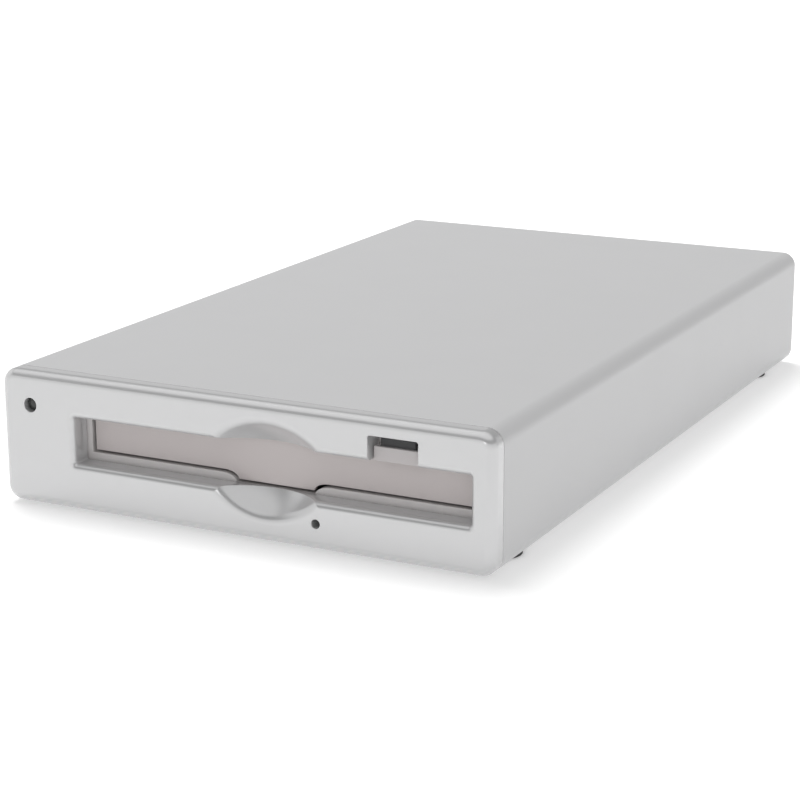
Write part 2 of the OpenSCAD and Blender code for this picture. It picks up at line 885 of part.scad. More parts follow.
module drive_bezel() {
    half = mech_w / 2;
    pin_bore = pin_r + run_gap;
    color(flap_grey) at_mech() difference() {
        union() {
            box([-half, mech_y, mech_z + stem_gap], [half, chassis_y0, mech_top - 2 * stem_gap]);
            box([coil_x0 - coil_w - flap_w / 2, chassis_y0 - drive_bezel_t / 2, slot_top],
                [coil_x0 + coil_w - flap_w / 2, chassis_y0 + ledge_l, slot_top + ledge_t]);
        }
        along_y(mech_y - over, chassis_y0 + over) {
            flap_outline(gap);
            translate([-flap_w / 2 - gap, flap_z]) square([flap_w + 2 * gap, slot_top - flap_z]);
        }
        both() rod_x([flap_w / 2, axis_y, axis_z], pin_bore, gap + pin_l);
        box([notch_off - stem_w / 2 - gap, mech_y - over, stem_z - stem_gap],
            [notch_off + stem_w / 2 + gap, chassis_y0 + over, stem_z + stem_h + stem_gap]);
        rod_y([pinhole_off, mech_y - over, pinhole_z], pinhole_r + gap, drive_bezel_t + 2 * over);
    }
}

module dust_flap() {
    color(flap_grey) at_mech() {
        difference() {
            union() {
                along_y(flap_y, flap_y + flap_t) flap_outline(0);
                rod_x([-flap_w / 2, axis_y, axis_z], barrel_r, flap_w);
            }
            box([coil_x0 - flap_w / 2, flap_y - over, axis_z - coil_cut],
                [coil_x0 + coil_w - flap_w / 2, axis_y + flap_t + over, axis_z + flap_t + over]);
        }
        rod_x([-flap_w / 2 - pin_l, axis_y, axis_z], pin_r, flap_w + 2 * pin_l);
    }
}

module flap_spring() {
    x0 = coil_x0 - flap_w / 2 + gap + flap_wire_r;
    turn_steps = 10;
    pitch = (coil_w - 2 * gap - 2 * flap_wire_r) / flap_coil_turns;
    y_back = axis_y + flap_coil_r;
    points = concat(
        [[x0, y_back, axis_z - flap_leg]],
        [for (i = [0:flap_coil_turns * turn_steps]) let (a = 360 * i / turn_steps)
            [x0 + pitch * i / turn_steps, axis_y + flap_coil_r * cos(a), axis_z + flap_coil_r * sin(a)]],
        [[x0 + pitch * flap_coil_turns, y_back + fit_gap, axis_z + flap_wire_r * 4],
            [x0 + pitch * flap_coil_turns, chassis_y0 + ledge_l - gap, slot_top - gap]]);
    color(steel) at_mech() wire(points, [1, 0, 0], flap_wire_r);
}

module eject_button() {
    tail_start = stem_y1 - over;
    color(bezel_silver) {
        box([notch_x - button_w / 2, button_y, button_z], [notch_x + button_w / 2, stem_y0, button_z + button_h]);
        box([notch_x - riser_w / 2, stem_y0 - riser_t, button_z + button_h / 2],
            [notch_x + riser_w / 2, stem_y0, stem_z + stem_h]);
        box([notch_x - stem_w / 2, stem_y0 - riser_t / 2, stem_z], [notch_x + stem_w / 2, stem_y1, stem_z + stem_h]);
        rod_y([notch_x, tail_start, stem_mid], tail_r, tail_l + over);
    }
}

module button_spring() {
    turn_steps = 10;
    length = button_coil_l - 2 * button_wire_r - fit_gap;
    color(steel) wire([for (i = [0:button_coil_turns * turn_steps]) let (a = 360 * i / turn_steps)
        [notch_x + button_coil_r * cos(a),
            stem_y1 + fit_gap + button_wire_r + length * i / turn_steps / button_coil_turns,
            stem_mid + button_coil_r * sin(a)]], [0, 1, 0], button_wire_r);
}

module button_bracket() {
    flange_z = lid_z - bracket_t;
    color(steel) difference() {
        union() {
            box([notch_x - bracket_w / 2, bracket_y, stem_z - bracket_low],
                [notch_x + bracket_w / 2, bracket_y + bracket_t, lid_z]);
            box([notch_x - bracket_w / 2, bracket_y, flange_z], [notch_x + bracket_w / 2, switch_y + switch_d, lid_z]);
        }
        rod_y([notch_x, bracket_y - over, stem_mid], tail_r + run_gap, bracket_t + 2 * over);
    }
}

module eject_switch() {
    color(plastic_black) {
        box([notch_x - switch_w / 2, switch_y, stem_mid - plunger_r * 2],
            [notch_x + switch_w / 2, switch_y + switch_d, lid_z - bracket_t]);
        rod_y([notch_x, switch_y - plunger_l, stem_mid], plunger_r, plunger_l + over);
    }
}

module drive_chassis() {
    half = mech_w / 2;
    color(cast_grey) at_mech() difference() {
        union() {
            box([-half, chassis_y0, floor_z], [half, mech_back, deck_z]);
            both() {
                box([wall_x, chassis_y0, mech_z], [half, mech_back, lid_z]);
                box([slide_x - slide_t - slide_t, slide_y0 - slide_set, floor_z],
                    [wall_x + wall_t / 2, holder_y1 + slide_set, slide_z0 - runner_gap]);
                rod_z([post_x, chassis_y0 + post_in, floor_z], post_r, lid_z - floor_z);
                rod_z([back_post_x, mech_back - back_post_in, floor_z], back_post_r, lid_z - floor_z);
            }
            box([-half, mech_back - wall_t, floor_z], [half, mech_back, lid_z]);
            for (p = mount_points)
                rod_z([p[0], p[1], mech_z], mount_boss_r, floor_z - mech_z + floor_t / 2);
            for (p = pcb_points)
                rod_z([p[0], p[1], pcb_top], pcb_boss_r, floor_z - pcb_top + floor_t / 2);
        }
        // Opening for the pickup, foot of the optics and the rail seats
        box([-deck_hole_x, deck_hole_y0, floor_z - over], [deck_hole_x, deck_hole_y1, deck_z + over]);
        box([-optics_foot_x - fit_gap, deck_hole_y1 - over, floor_z - over],
            [optics_foot_x + fit_gap, optics_y1 - optics_gap / 5, deck_z + over]);
        both() rod_y([rail_x, deck_hole_y0 - rail_seat, rail_z], rail_r + run_gap / 2, deck_hole_l + 2 * rail_seat);
        rod_z([0, spindle_y, floor_z - over], bearing_r + fit_gap, floor_t + 2 * over);
        // Way out of the rear header
        box([-header_x - over, header_y0 - over, floor_z - over],
            [header_x + over, mech_back + over, pcb_top + header_h + gap]);
        // Upright guide slots of the holder's pins
        both() for (y = [guide_y0, guide_y1])
            along_x(wall_x - over, half + over)
                translate([y, guide_z]) slot_2d(guide_r + run_gap, [0, -load_drop]);
        for (p = mount_points)
            rod_z([p[0], p[1], mech_z - over], screw_r, small_l);
        for (p = pcb_points)
            rod_z([p[0], p[1], pcb_top - over], small_r, pcb_screw_l);
        both() {
            rod_z([post_x, chassis_y0 + post_in, lid_z - small_l], small_r, small_l + over);
            rod_z([back_post_x, mech_back - back_post_in, lid_z - small_l], small_r, small_l + over);
        }
    }
}

module drive_cover() {
    half = mech_w / 2;
    color(steel) at_mech() difference() {
        box([-half, chassis_y0, lid_z], [half, mech_back, mech_top]);
        both() {
            rod_z([post_x, chassis_y0 + post_in, lid_z - over], small_r, lid_t + 2 * over);
            rod_z([back_post_x, mech_back - back_post_in, lid_z - over], small_r, lid_t + 2 * over);
        }
    }
}

module cover_screws() {
    color(steel) at_mech() both() {
        translate([post_x, chassis_y0 + post_in, mech_top]) pan_screw(small_r, small_head_r, small_head_h, small_l);
        translate([back_post_x, mech_back - back_post_in, mech_top])
            pan_screw(small_r, small_head_r, small_head_h, small_l);
    }
}

module mount_screws() {
    color(steel) at_mech() for (p = mount_points)
        translate([p[0], p[1], base_z]) flat_screw(base_t + small_l - over);
}

module cartridge_holder() {
    side = holder_w / 2;
    color(steel) at_mech() difference() {
        union() {
            box([-side - sheet, holder_y0, holder_z1], [side + sheet, holder_y1 + sheet, holder_z1 + sheet]);
            box([-side - sheet, holder_y1, holder_z1 - cart_h / 2], [side + sheet, holder_y1 + sheet, holder_z1 + sheet]);
            both() {
                box([side, holder_y0, holder_z0], [side + sheet, holder_y1 + sheet, holder_z1 + sheet]);
                box([side - lip_w, holder_y0, holder_z0], [side + sheet, holder_y1 + sheet, holder_z0 + sheet]);
                for (y = [guide_y0, guide_y1])
                    rod_x([side + sheet / 2, y, guide_z], guide_r, guide_x - side - sheet / 2);
            }
        }
        box([-holder_win_w / 2, holder_y0 + 2 * holder_win_in, holder_z1 - over],
            [holder_win_w / 2, holder_y1 - holder_win_in / 2, holder_z1 + sheet + over]);
    }
}

// Rack with a tooth gap on the gear's centre line at rest, teeth on the +X side
function rack_outline() =
    let (pitch = PI * gear_m, half = pitch / 4 - backlash_share * gear_m / 4, slope = tan(pressure_angle),
        out = addendum_share * gear_m, deep = dedendum_share * gear_m)
    [for (i = [0:rack_teeth - 1]) let (c = gear_y + (i - rack_ahead_teeth + 0.5) * pitch)
        each [[rack_x - deep, c - half - deep * slope], [rack_x + out, c - half + out * slope],
            [rack_x + out, c + half - out * slope], [rack_x - deep, c + half + deep * slope]]];

module slide_plate() {
    z1 = slide_z + slide_t;
    bar_x0 = rack_x - rack_w;
    teeth = rack_outline();
    color([0.72, 0.68, 0.5]) at_mech() {
        box([-slide_x, slide_y0, slide_z], [slide_x, slide_y0 + slide_strip, z1]);
        both() {
            box([slide_arm_x, slide_y0, slide_z], [slide_x, slide_y1, z1]);
            difference() {
                box([slide_x - slide_t, slide_y0, slide_z0], [slide_x, slide_y1, z1]);
                for (y = [guide_y0, guide_y1])
                    along_x(slide_x - slide_t - over, slide_x + over)
                        translate([y, guide_z]) slot_2d(guide_r + run_gap, [-slide_travel, -load_drop]);
            }
        }
        box([bar_x0, slide_y1 - slide_strip / 2, slide_z],
            [rack_x - dedendum_share * gear_m, gear_y + rack_end, slide_z + rack_t]);
        translate([0, 0, slide_z]) linear_extrude(rack_t)
            polygon(concat([[bar_x0 + slide_t, teeth[0][1]]], teeth, [[bar_x0 + slide_t, teeth[len(teeth) - 1][1]]]));
    }
}

module gear_bracket() {
    color(steel) at_mech() difference() {
        union() {
            box([gear_plate_x0, gear_plate_y0, gear_plate_z0], [gear_plate_x1, gear_plate_y1, gear_plate_z1]);
            box([gear_plate_x0 + gear_leg_in, gear_plate_y1 - gear_leg_t, deck_z],
                [gear_plate_x1, gear_plate_y1, gear_plate_z1]);
            box([gear_plate_x1 - gear_leg_w, gear_plate_y0, deck_z],
                [gear_plate_x1, gear_plate_y0 + gear_leg_w, gear_plate_z1]);
            rod_z([gear_x, gear_y, gear_plate_z0], gear_post_r, gear_plate_t + gear_post_l);
        }
        rod_z([motor_x, motor_y, gear_plate_z0 - over], motor_boss_r + run_gap, gear_plate_t + 2 * over);
    }
}

module idler_gear() {
    color([0.9, 0.9, 0.86]) at_mech() translate([gear_x, gear_y, small_wheel_z]) difference() {
        union() {
            gear(small_teeth, 180, small_wheel_t + big_wheel_t / 2);
            translate([0, 0, small_wheel_t]) gear(big_teeth, train_angle, big_wheel_t);
        }
        rod_z([0, 0, -over], gear_post_r + run_gap, small_wheel_t + big_wheel_t + 2 * over);
    }
}

module loading_motor() {
    motor_z0 = deck_z + runner_gap;
    color(steel) at_mech() translate([motor_x, motor_y, 0]) difference() {
        union() {
            rod_z([0, 0, motor_z0], motor_r, gear_plate_z0 - motor_z0);
            rod_z([0, 0, gear_plate_z0 - over], motor_boss_r, gear_plate_t + over);
        }
        rod_z([0, 0, gear_plate_z0 - motor_shaft_in - fit_gap], motor_shaft_r + run_gap, motor_r * 2);
    }
}

module motor_pinion() {
    z0 = big_wheel_z - pinion_over;
    t = big_wheel_t + 2 * pinion_over;
    color([0.75, 0.62, 0.3]) at_mech() translate([motor_x, motor_y, 0]) {
        translate([0, 0, z0]) gear(pinion_teeth, train_angle + 180 + 180 / pinion_teeth, t);
        rod_z([0, 0, gear_plate_z0 - motor_shaft_in], motor_shaft_r, z0 + t + pinion_over - gear_plate_z0 + motor_shaft_in);
    }
}

module spindle_motor() {
    color(cast_grey) at_mech() translate([0, spindle_y, 0]) difference() {
        union() {
            rod_z([0, 0, deck_z], turntable_r, motor_base_t);
            rod_z([0, 0, deck_z], stator_r, motor_base_t + stator_h);
            rod_z([0, 0, floor_z - bearing_down], bearing_r, bearing_down + floor_t + bearing_up);
        }
        rod_z([0, 0, floor_z - bearing_down - over], shaft_r + run_gap, bearing_down + floor_t + bearing_up + 2 * over);
    }
}

module turntable() {
    table_z = deck_z + table_rise;
    color([0.78, 0.78, 0.8]) at_mech() translate([0, spindle_y, 0]) {
        rod_z([0, 0, table_z], turntable_r, table_t);
        rod_z([0, 0, table_z + table_t / 2], hub_r, table_t / 2 + hub_h);
        rod_z([0, 0, floor_z - bearing_down + fit_gap], shaft_r, table_z + table_t / 2 - floor_z + bearing_down - fit_gap);
        difference() {
            rod_z([0, 0, table_z - skirt_h], turntable_r, skirt_h + table_t / 2);
            rod_z([0, 0, table_z - skirt_h - over], turntable_r - skirt_t, skirt_h + over);
        }
    }
}

module guide_rails() {
    color(steel) at_mech() both()
        rod_y([rail_x, deck_hole_y0 - rail_seat, rail_z], rail_r, deck_hole_l + 2 * rail_seat);
}

module pickup_carriage() {
    z0 = floor_z - carriage_down;
    z1 = deck_z + carriage_up;
    color(plastic_black) at_mech() difference() {
        union() {
            box([-carriage_x, lens_y - carriage_front, z0], [carriage_x, lens_y + carriage_back, z1]);
            both() {
                box([carriage_x - over, lens_y - block_y, rail_z - block_up], [block_x, lens_y + block_y, rail_z + block_up]);
                box([block_x - over, lens_y - arm_y, rail_z - arm_h], [arm_x, lens_y + arm_y, rail_z + arm_h]);
            }
        }
        box([-well_x, lens_y - well_y, z0 + well_floor], [well_x, lens_y + well_y, z1 + over]);
        both() rod_y([rail_x, lens_y - block_y - over, rail_z], rail_r + run_gap, 2 * block_y + 2 * over);
        rod_y([0, lens_y, rail_z], beam_r, carriage_back + over);
    }
}

module voice_coils() {
    color([0.72, 0.42, 0.22]) at_mech() both()
        along_y(lens_y - coil_half_l, lens_y + coil_half_l) translate([coil_x, coil_z]) difference() {
            square(2 * [coil_half_w, coil_half_h], center = true);
            square(2 * [coil_hole_w, coil_hole_h], center = true);
        }
}

module lens_holder() {
    color(plastic_black) at_mech() translate([0, lens_y, lens_holder_z]) difference() {
        box([-lens_x, -lens_x, 0], [lens_x, lens_x, lens_holder_h]);
        rod_z([0, 0, -over], lens_stop_r, lens_holder_h);
        rod_z([0, 0, lens_holder_h - lens_seat], lens_r, lens_holder_h);
    }
}

module objective_lens() {
    color([0.7, 0.8, 0.9, 0.6]) at_mech() translate([0, lens_y, lens_holder_z + lens_holder_h - lens_seat])
        intersection() {
            cylinder(r = lens_r, h = lens_ball_r);
            translate([0, 0, lens_t - lens_ball_r]) sphere(r = lens_ball_r);
        }
}

module magnet_yokes() {
    x0 = coil_x - bar_half;
    color(steel) at_mech() both()
        translate([0, 0, coil_z - bar_half]) linear_extrude(2 * bar_half) difference() {
            translate([x0, deck_hole_y0]) square([yoke_x1 - x0, deck_hole_l]);
            translate([coil_x + bar_half, deck_hole_y0 + yoke_end])
                square([yoke_x0 - coil_x - bar_half, deck_hole_l - 2 * yoke_end]);
        }
}

module drive_magnets() {
    color([0.35, 0.35, 0.37]) at_mech() both()
        box([yoke_x0 - magnet_t, deck_hole_y0 + magnet_in, coil_z - magnet_half_h],
            [yoke_x0, deck_hole_y1 - magnet_in, coil_z + magnet_half_h]);
}

module optics_block() {
    foot_y1 = optics_y1 - optics_gap / 2;
    color(cast_grey) at_mech() difference() {
        union() {
            box([-optics_x, optics_y0, deck_z], [optics_x, optics_y1, deck_z + optics_h]);
            box([-optics_foot_x, deck_hole_y1 + rail_seat, floor_z - carriage_down], [optics_foot_x, foot_y1, deck_z + floor_t / 2]);
        }
        rod_y([0, deck_hole_y1, rail_z], beam_r, optics_d / 2 + optics_gap);
    }
}

module laser_diode() {
    color([0.8, 0.68, 0.4]) at_mech()
        rod_x([-optics_x - diode_l, (optics_y0 + optics_y1) / 2, deck_z + diode_up], diode_r, diode_l);
}

module photo_detector() {
    color(board_green) at_mech()
        box([optics_x, optics_y0 + detector_t, deck_z + detector_up],
            [optics_x + detector_t, optics_y1 - detector_t, deck_z + detector_up + detector_h]);
}

module bias_coil() {
    y1 = lens_y + bias_l / 2 + bias_back;
    y0 = y1 - bias_l;
    z0 = lid_z - bias_h;
    color([0.66, 0.36, 0.18]) at_mech() {
        box([-bias_x, y0, z0 + bias_plate_t], [bias_x, y1, lid_z - bias_plate_t]);
        box([-bias_core_x, y0 - bias_plate_t, z0], [bias_core_x, y1 + bias_plate_t, lid_z]);
    }
}

module drive_pcb() {
    color(board_green) at_mech() difference() {
        box([-drive_pcb_x, chassis_y0 + drive_pcb_in, drive_pcb_z], [drive_pcb_x, mech_back, pcb_top]);
        for (p = pcb_points)
            rod_z([p[0], p[1], drive_pcb_z - over], small_r, pcb_t + 2 * over);
    }
}

// Chips: centre x, y and size x, y, x in shares of the board's half width and y of its depth
drive_chip_shares = [[-0.60, 0.086, 0.34, 0.109], [0.00, 0.067, 0.20, 0.096], [0.66, 0.144, 0.28, 0.090],
    [-0.87, 0.304, 0.16, 0.090], [0.87, 0.432, 0.16, 0.096], [-0.87, 0.624, 0.16, 0.109]];
bridge_chip_shares = [[-0.16, 0.450, 0.26, 0.390], [0.24, 0.480, 0.18, 0.270], [0.56, 0.390, 0.14, 0.150],
    [-0.44, 0.420, 0.12, 0.240]];
module chips(shares, w, d, origin) {
    for (s = shares)
        translate(origin + [(s[0] - s[2] / 2) * w, (s[1] - s[3] / 2) * d, 0]) cube([s[2] * w, s[3] * d, chip_t]);
}

module drive_chips() {
    color(plastic_black) at_mech()
        chips(drive_chip_shares, drive_pcb_x, mech_back - chassis_y0 - drive_pcb_in,
            [0, chassis_y0 + drive_pcb_in, pcb_top]);
}

module drive_pcb_screws() {
    color(steel) at_mech() for (p = pcb_points)
        translate([p[0], p[1], drive_pcb_z]) mirror([0, 0, 1]) pan_screw(small_r, small_head_r, small_head_h, pcb_screw_l);
}

module drive_header() {
    color(plastic_black) at_mech() difference() {
        box([-header_x, header_y0, pcb_top], [header_x, header_y1, pcb_top + header_h]);
        box([-header_x + header_wall / 2, header_y0 + header_wall, pcb_top + header_floor],
            [header_x - header_wall / 2, header_y1 + over, pcb_top + header_h - header_wall / 3]);
    }
}

module bridge_pcb() {
    color(board_green) difference() {
        box([-bridge_x, bridge_y0, bridge_z], [bridge_x, bridge_y1, bridge_top]);
        for (p = standoff_points)
            rod_z([p[0], p[1], bridge_z - over], screw_r, pcb_t + 2 * over);
    }
}

module bridge_chips() {
    color(plastic_black) chips(bridge_chip_shares, bridge_x, bridge_y1 - bridge_y0,
        [0, bridge_y0, bridge_top]);
}

module bridge_connector() {
    half = header_x - header_wall / 2 - gap;
    color([0.2, 0.2, 0.22])
        translate([mech_x, 0, 0]) box([-half, header_y0 + header_wall + over, bridge_top],
            [half, header_y0 + header_wall + over + plug_l, bridge_top + plug_h]);
}

module capacitors() {
    color([0.15, 0.18, 0.3]) for (x = [-0.84, -0.7, 0.78])
        rod_z([x * bridge_x, bridge_y0 + standoff_in + 2 * cap_r + standoff_r, bridge_top], cap_r, cap_h);
}

module pcb_standoffs() {
    color([0.75, 0.65, 0.35]) for (p = standoff_points)
        difference() {
            rod_z([p[0], p[1], mech_z], standoff_r, bridge_up);
            rod_z([p[0], p[1], mech_z - over], screw_r, bridge_up + 2 * over);
        }
}

module pcb_screws() {
    color(steel) for (p = standoff_points)
        translate([p[0], p[1], bridge_top]) pan_screw(screw_r, screw_head_r, screw_head_h, pcb_t + bridge_up - fit_gap);
}

// Socket shell with a tongue in its mouth, its mouth on the outside of the rear panel
module socket(x, w, h, d, hole_w, hole_h, tongue_w, tongue_h) {
    y1 = panel_y1 + sock_out;
    translate([x, y1, bridge_top + h / 2]) {
        difference() {
            box([-w / 2, -d, -h / 2], [w / 2, 0, h / 2]);
            box([-hole_w / 2, -sock_depth, -hole_h / 2], [hole_w / 2, over, hole_h / 2]);
        }
        box([-tongue_w / 2, -sock_depth - over, -tongue_h / 2], [tongue_w / 2, -tongue_in, tongue_h / 2]);
    }
}

module usb_socket() {
    color(steel) socket(usb_x, usb_w, usb_h, usb_d, usb_hole_w, usb_hole_h, usb_tongue_w, usb_tongue_h);
}

module firewire_sockets() {
    color(steel) for (x = wire_x)
        socket(x, wire_w, wire_h, wire_d, wire_hole_w, wire_hole_h, wire_tongue_w, wire_tongue_h);
}

module dc_jack() {
    y1 = panel_y1 + sock_out;
    mid = bridge_top + jack_h / 2;
    color(plastic_black) {
        difference() {
            box([jack_x - jack_w / 2, y1 - jack_d, bridge_top], [jack_x + jack_w / 2, y1, bridge_top + jack_h]);
            rod_y([jack_x, y1 - sock_depth, mid], jack_hole_r, sock_depth + over);
        }
        rod_y([jack_x, y1 - sock_depth - over, mid], jack_pin_r, sock_depth + over - tongue_in);
    }
}

module switch_housing() {
    hole_y = panel_y1 - switch_hole_d;
    pin_y = panel_y1 - rocker_in;
    color(plastic_black) translate([switch_x, 0, switch_z]) difference() {
        union() {
            box([-switch_case_w / 2, panel_y1 - switch_case_d, -switch_case_h / 2],
                [switch_case_w / 2, panel_y1 + switch_rim_t / 2, switch_case_h / 2]);
            box([-switch_case_w / 2 - switch_rim, panel_y1, -switch_case_h / 2 - switch_rim],
                [switch_case_w / 2 + switch_rim, panel_y1 + switch_rim_t, switch_case_h / 2 + switch_rim]);
        }
        box([-switch_hole_w / 2, hole_y, -switch_hole_h / 2], [switch_hole_w / 2, back_y, switch_hole_h / 2]);
        rod_z([0, pin_y, -switch_hole_h / 2 - switch_rim], rocker_pin_r + run_gap, switch_hole_h + 2 * switch_rim);
    }
}

module power_rocker() {
    w = rocker_w / 2;
    color([0.16, 0.16, 0.17]) translate([switch_x, panel_y1 - rocker_in, switch_z]) rotate([0, 0, -rocker_tilt]) {
        translate([0, 0, -rocker_h / 2]) linear_extrude(rocker_h) polygon([[-w, rocker_tip], [0, rocker_dip],
            [w, rocker_tip], [w, -rocker_skirt], [rocker_back_w / 2, -rocker_back], [-rocker_back_w / 2, -rocker_back],
            [-w, -rocker_skirt]]);
        rod_z([0, 0, -switch_hole_h / 2 - switch_rim + fit_gap], rocker_pin_r, switch_hole_h + 2 * switch_rim - 2 * fit_gap);
    }
}

front_bezel();
top_cover();
base_plate();
rear_panel();
rubber_feet();
case_screws();
light_pipe();
led_board();
status_led();
drive_bezel();
dust_flap();
flap_spring();
eject_button();
button_spring();
button_bracket();
eject_switch();
drive_chassis();
drive_cover();
cover_screws();
mount_screws();
cartridge_holder();
slide_plate();
gear_bracket();
idler_gear();
loading_motor();
motor_pinion();
spindle_motor();
turntable();
guide_rails();
pickup_carriage();
voice_coils();
lens_holder();
objective_lens();
magnet_yokes();
drive_magnets();
optics_block();
laser_diode();
photo_detector();
bias_coil();
drive_pcb();
drive_chips();
drive_pcb_screws();
drive_header();
bridge_pcb();
bridge_chips();
bridge_connector();
capacitors();
pcb_standoffs();
pcb_screws();
usb_socket();
firewire_sockets();
dc_jack();
switch_housing();
power_rocker();
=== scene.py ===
"""Looks of a slim external magneto-optical drive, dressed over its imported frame.

The scene is in metres, X to the right as seen from the front, Y to the back, Z up from the table.
From the front shell on, sizes and places are written in millimetres.
"""

import math

import bmesh
import bpy
from mathutils import Matrix, Vector


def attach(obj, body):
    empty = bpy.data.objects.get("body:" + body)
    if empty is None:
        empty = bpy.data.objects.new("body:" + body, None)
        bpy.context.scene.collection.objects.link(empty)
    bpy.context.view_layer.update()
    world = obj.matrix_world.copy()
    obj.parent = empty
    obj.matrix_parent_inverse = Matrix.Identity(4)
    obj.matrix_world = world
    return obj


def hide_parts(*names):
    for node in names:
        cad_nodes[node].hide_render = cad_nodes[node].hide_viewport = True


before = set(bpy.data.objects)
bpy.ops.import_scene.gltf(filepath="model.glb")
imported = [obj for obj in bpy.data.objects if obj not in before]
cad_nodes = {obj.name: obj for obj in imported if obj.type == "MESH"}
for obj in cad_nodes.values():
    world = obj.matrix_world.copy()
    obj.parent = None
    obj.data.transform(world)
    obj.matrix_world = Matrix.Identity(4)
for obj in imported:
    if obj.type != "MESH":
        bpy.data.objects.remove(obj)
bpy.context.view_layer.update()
studio = bpy.context.scene

# Camera
# A long lens in front of the drive's right corner, a little above it, as the photograph was taken.
# Its place, turn and focal length come from a fit of the case's long edges in the photograph.
photo_side_px, focal_px = 800.0, 2140.35
sensor_width = 36.0
nearest, farthest = 0.01, 40.0
camera_place = (0.226316, -0.467262, 0.148594)
azimuth, elevation, roll = (math.radians(a) for a in (27.008, 15.3247, -0.1891))
camera_data = bpy.data.cameras.new("photo_camera")
camera_data.sensor_width = sensor_width
camera_data.lens = sensor_width * focal_px / photo_side_px
camera_data.clip_start = nearest
camera_data.clip_end = farthest
camera = bpy.data.objects.new("photo_camera", camera_data)
studio.collection.objects.link(camera)
back = Vector(
    (
        math.sin(azimuth) * math.cos(elevation),
        -math.cos(azimuth) * math.cos(elevation),
        math.sin(elevation),
    )
)
right = (-back).cross(Vector((0, 0, 1))).normalized()
up = right.cross(-back)
right, up = (
    math.cos(roll) * right + math.sin(roll) * up,
    -math.sin(roll) * right + math.cos(roll) * up,
)
turn = Matrix((right, up, back)).transposed().to_4x4()
camera.matrix_world = Matrix.Translation(camera_place) @ turn
studio.camera = camera
studio.view_settings.view_transform = "Standard"

# Studio
# A white tent that gives even light all round, with two lamps. A large soft one hangs overhead, to
# the left and a little behind the drive, and lights matt surfaces. A small one straight ahead of
# the drive only shows in shiny ones.
ambient_level = 0.64
lamp_aim = (0.0, -0.02, 0.015)


def grey(level):
    """Opaque grey, as a node's colour."""
    return (level, level, level, 1.0)


def add_node(tree, kind, values=None, **settings):
    """New node in a tree, with its own settings and its inputs' values by name or number."""
    node = tree.nodes.new(kind)
    for label, setting in settings.items():
        setattr(node, label, setting)
    for label, value in (values or {}).items():
        node.inputs[label].default_value = value
    return node


def maths(tree, operation, *terms):
    """Output of a maths node; each term is a number or another node's output."""
    node = add_node(tree, "ShaderNodeMath", operation=operation)
    for socket, term in zip(node.inputs, terms):
        if isinstance(term, float):
            socket.default_value = term
        else:
            tree.links.new(term, socket)
    return node.outputs[0]


def ranged(tree, value, low, high, at_low, at_high):
    """Output that goes from at_low to at_high as a value goes from low to high."""
    ends = {"From Min": low, "From Max": high, "To Min": at_low, "To Max": at_high}
    node = add_node(tree, "ShaderNodeMapRange", ends)
    tree.links.new(value, node.inputs["Value"])
    return node.outputs["Result"]


def seeing_rays(tree):
    """Output that is 1 for rays from the camera, off shiny surfaces or through clear ones."""
    rays = add_node(tree, "ShaderNodeLightPath")
    mirrored, passed = rays.outputs["Is Glossy Ray"], rays.outputs["Is Transmission Ray"]
    indirect = maths(tree, "MAXIMUM", mirrored, passed)
    return maths(tree, "MAXIMUM", rays.outputs["Is Camera Ray"], indirect)


tent = bpy.data.worlds.new("white_tent")
studio.world = tent
tent.use_nodes = True
tree = tent.node_tree
tree.nodes.clear()
ambient = add_node(tree, "ShaderNodeBackground", {"Color": grey(1.0), "Strength": ambient_level})
seen = add_node(tree, "ShaderNodeBackground", {"Color": grey(1.0)})
# Shiny surfaces show the tent's low wall and its bright top with a dark gap between them, which
# closes on the left, and a dimmer wall at the back. The rounded edges show it as dark lines.
gap_level, gap_darkens, gap_brightens = 0.12, (0.3, 0.4), (0.64, 0.8)
direction = add_node(tree, "ShaderNodeTexCoord")
split = add_node(tree, "ShaderNodeSeparateXYZ")
tree.links.new(direction.outputs["Generated"], split.inputs[0])
gap = add_node(tree, "ShaderNodeValToRGB")
stops = gap.color_ramp.elements
stops[0].position, stops[0].color = gap_darkens[0], grey(1.0)
stops[1].position, stops[1].color = gap_brightens[1], grey(1.0)
for position in (gap_darkens[1], gap_brightens[0]):
    stop = stops.new(position)
    stop.color = grey(gap_level)
tree.links.new(split.outputs["Z"], gap.inputs["Fac"])
left_end = ranged(tree, split.outputs["X"], low=-0.6, high=-0.8, at_low=0.0, at_high=1.0)
far_wall = ranged(tree, split.outputs["Y"], low=0.2, high=0.6, at_low=1.0, at_high=0.55)
walls = maths(tree, "MAXIMUM", gap.outputs["Color"], left_end)
reflected = maths(tree, "MULTIPLY", walls, far_wall)
rays = add_node(tree, "ShaderNodeLightPath")
white_to_camera = maths(tree, "MAXIMUM", rays.outputs["Is Camera Ray"], reflected)
tree.links.new(white_to_camera, seen.inputs["Strength"])
mixed = add_node(tree, "ShaderNodeMixShader")
tree.links.new(seeing_rays(tree), mixed.inputs["Fac"])
tree.links.new(ambient.outputs[0], mixed.inputs[1])
tree.links.new(seen.outputs[0], mixed.inputs[2])
tent_out = add_node(tree, "ShaderNodeOutputWorld")
tree.links.new(mixed.outputs[0], tent_out.inputs["Surface"])


def add_lamp(name, place, size, watts, mirrored):
    """Round lamp aimed at the drive, which lights either matt surfaces or, mirrored, shiny ones."""
    lamp_data = bpy.data.lights.new(name, "AREA")
    lamp_data.shape = "DISK"
    lamp_data.size = size
    lamp_data.energy = watts
    lamp = bpy.data.objects.new(name, lamp_data)
    lamp.location = place
    lamp.rotation_euler = (Vector(lamp_aim) - Vector(place)).to_track_quat("-Z", "Y").to_euler()
    lamp.visible_glossy = mirrored
    lamp.visible_diffuse = not mirrored
    studio.collection.objects.link(lamp)


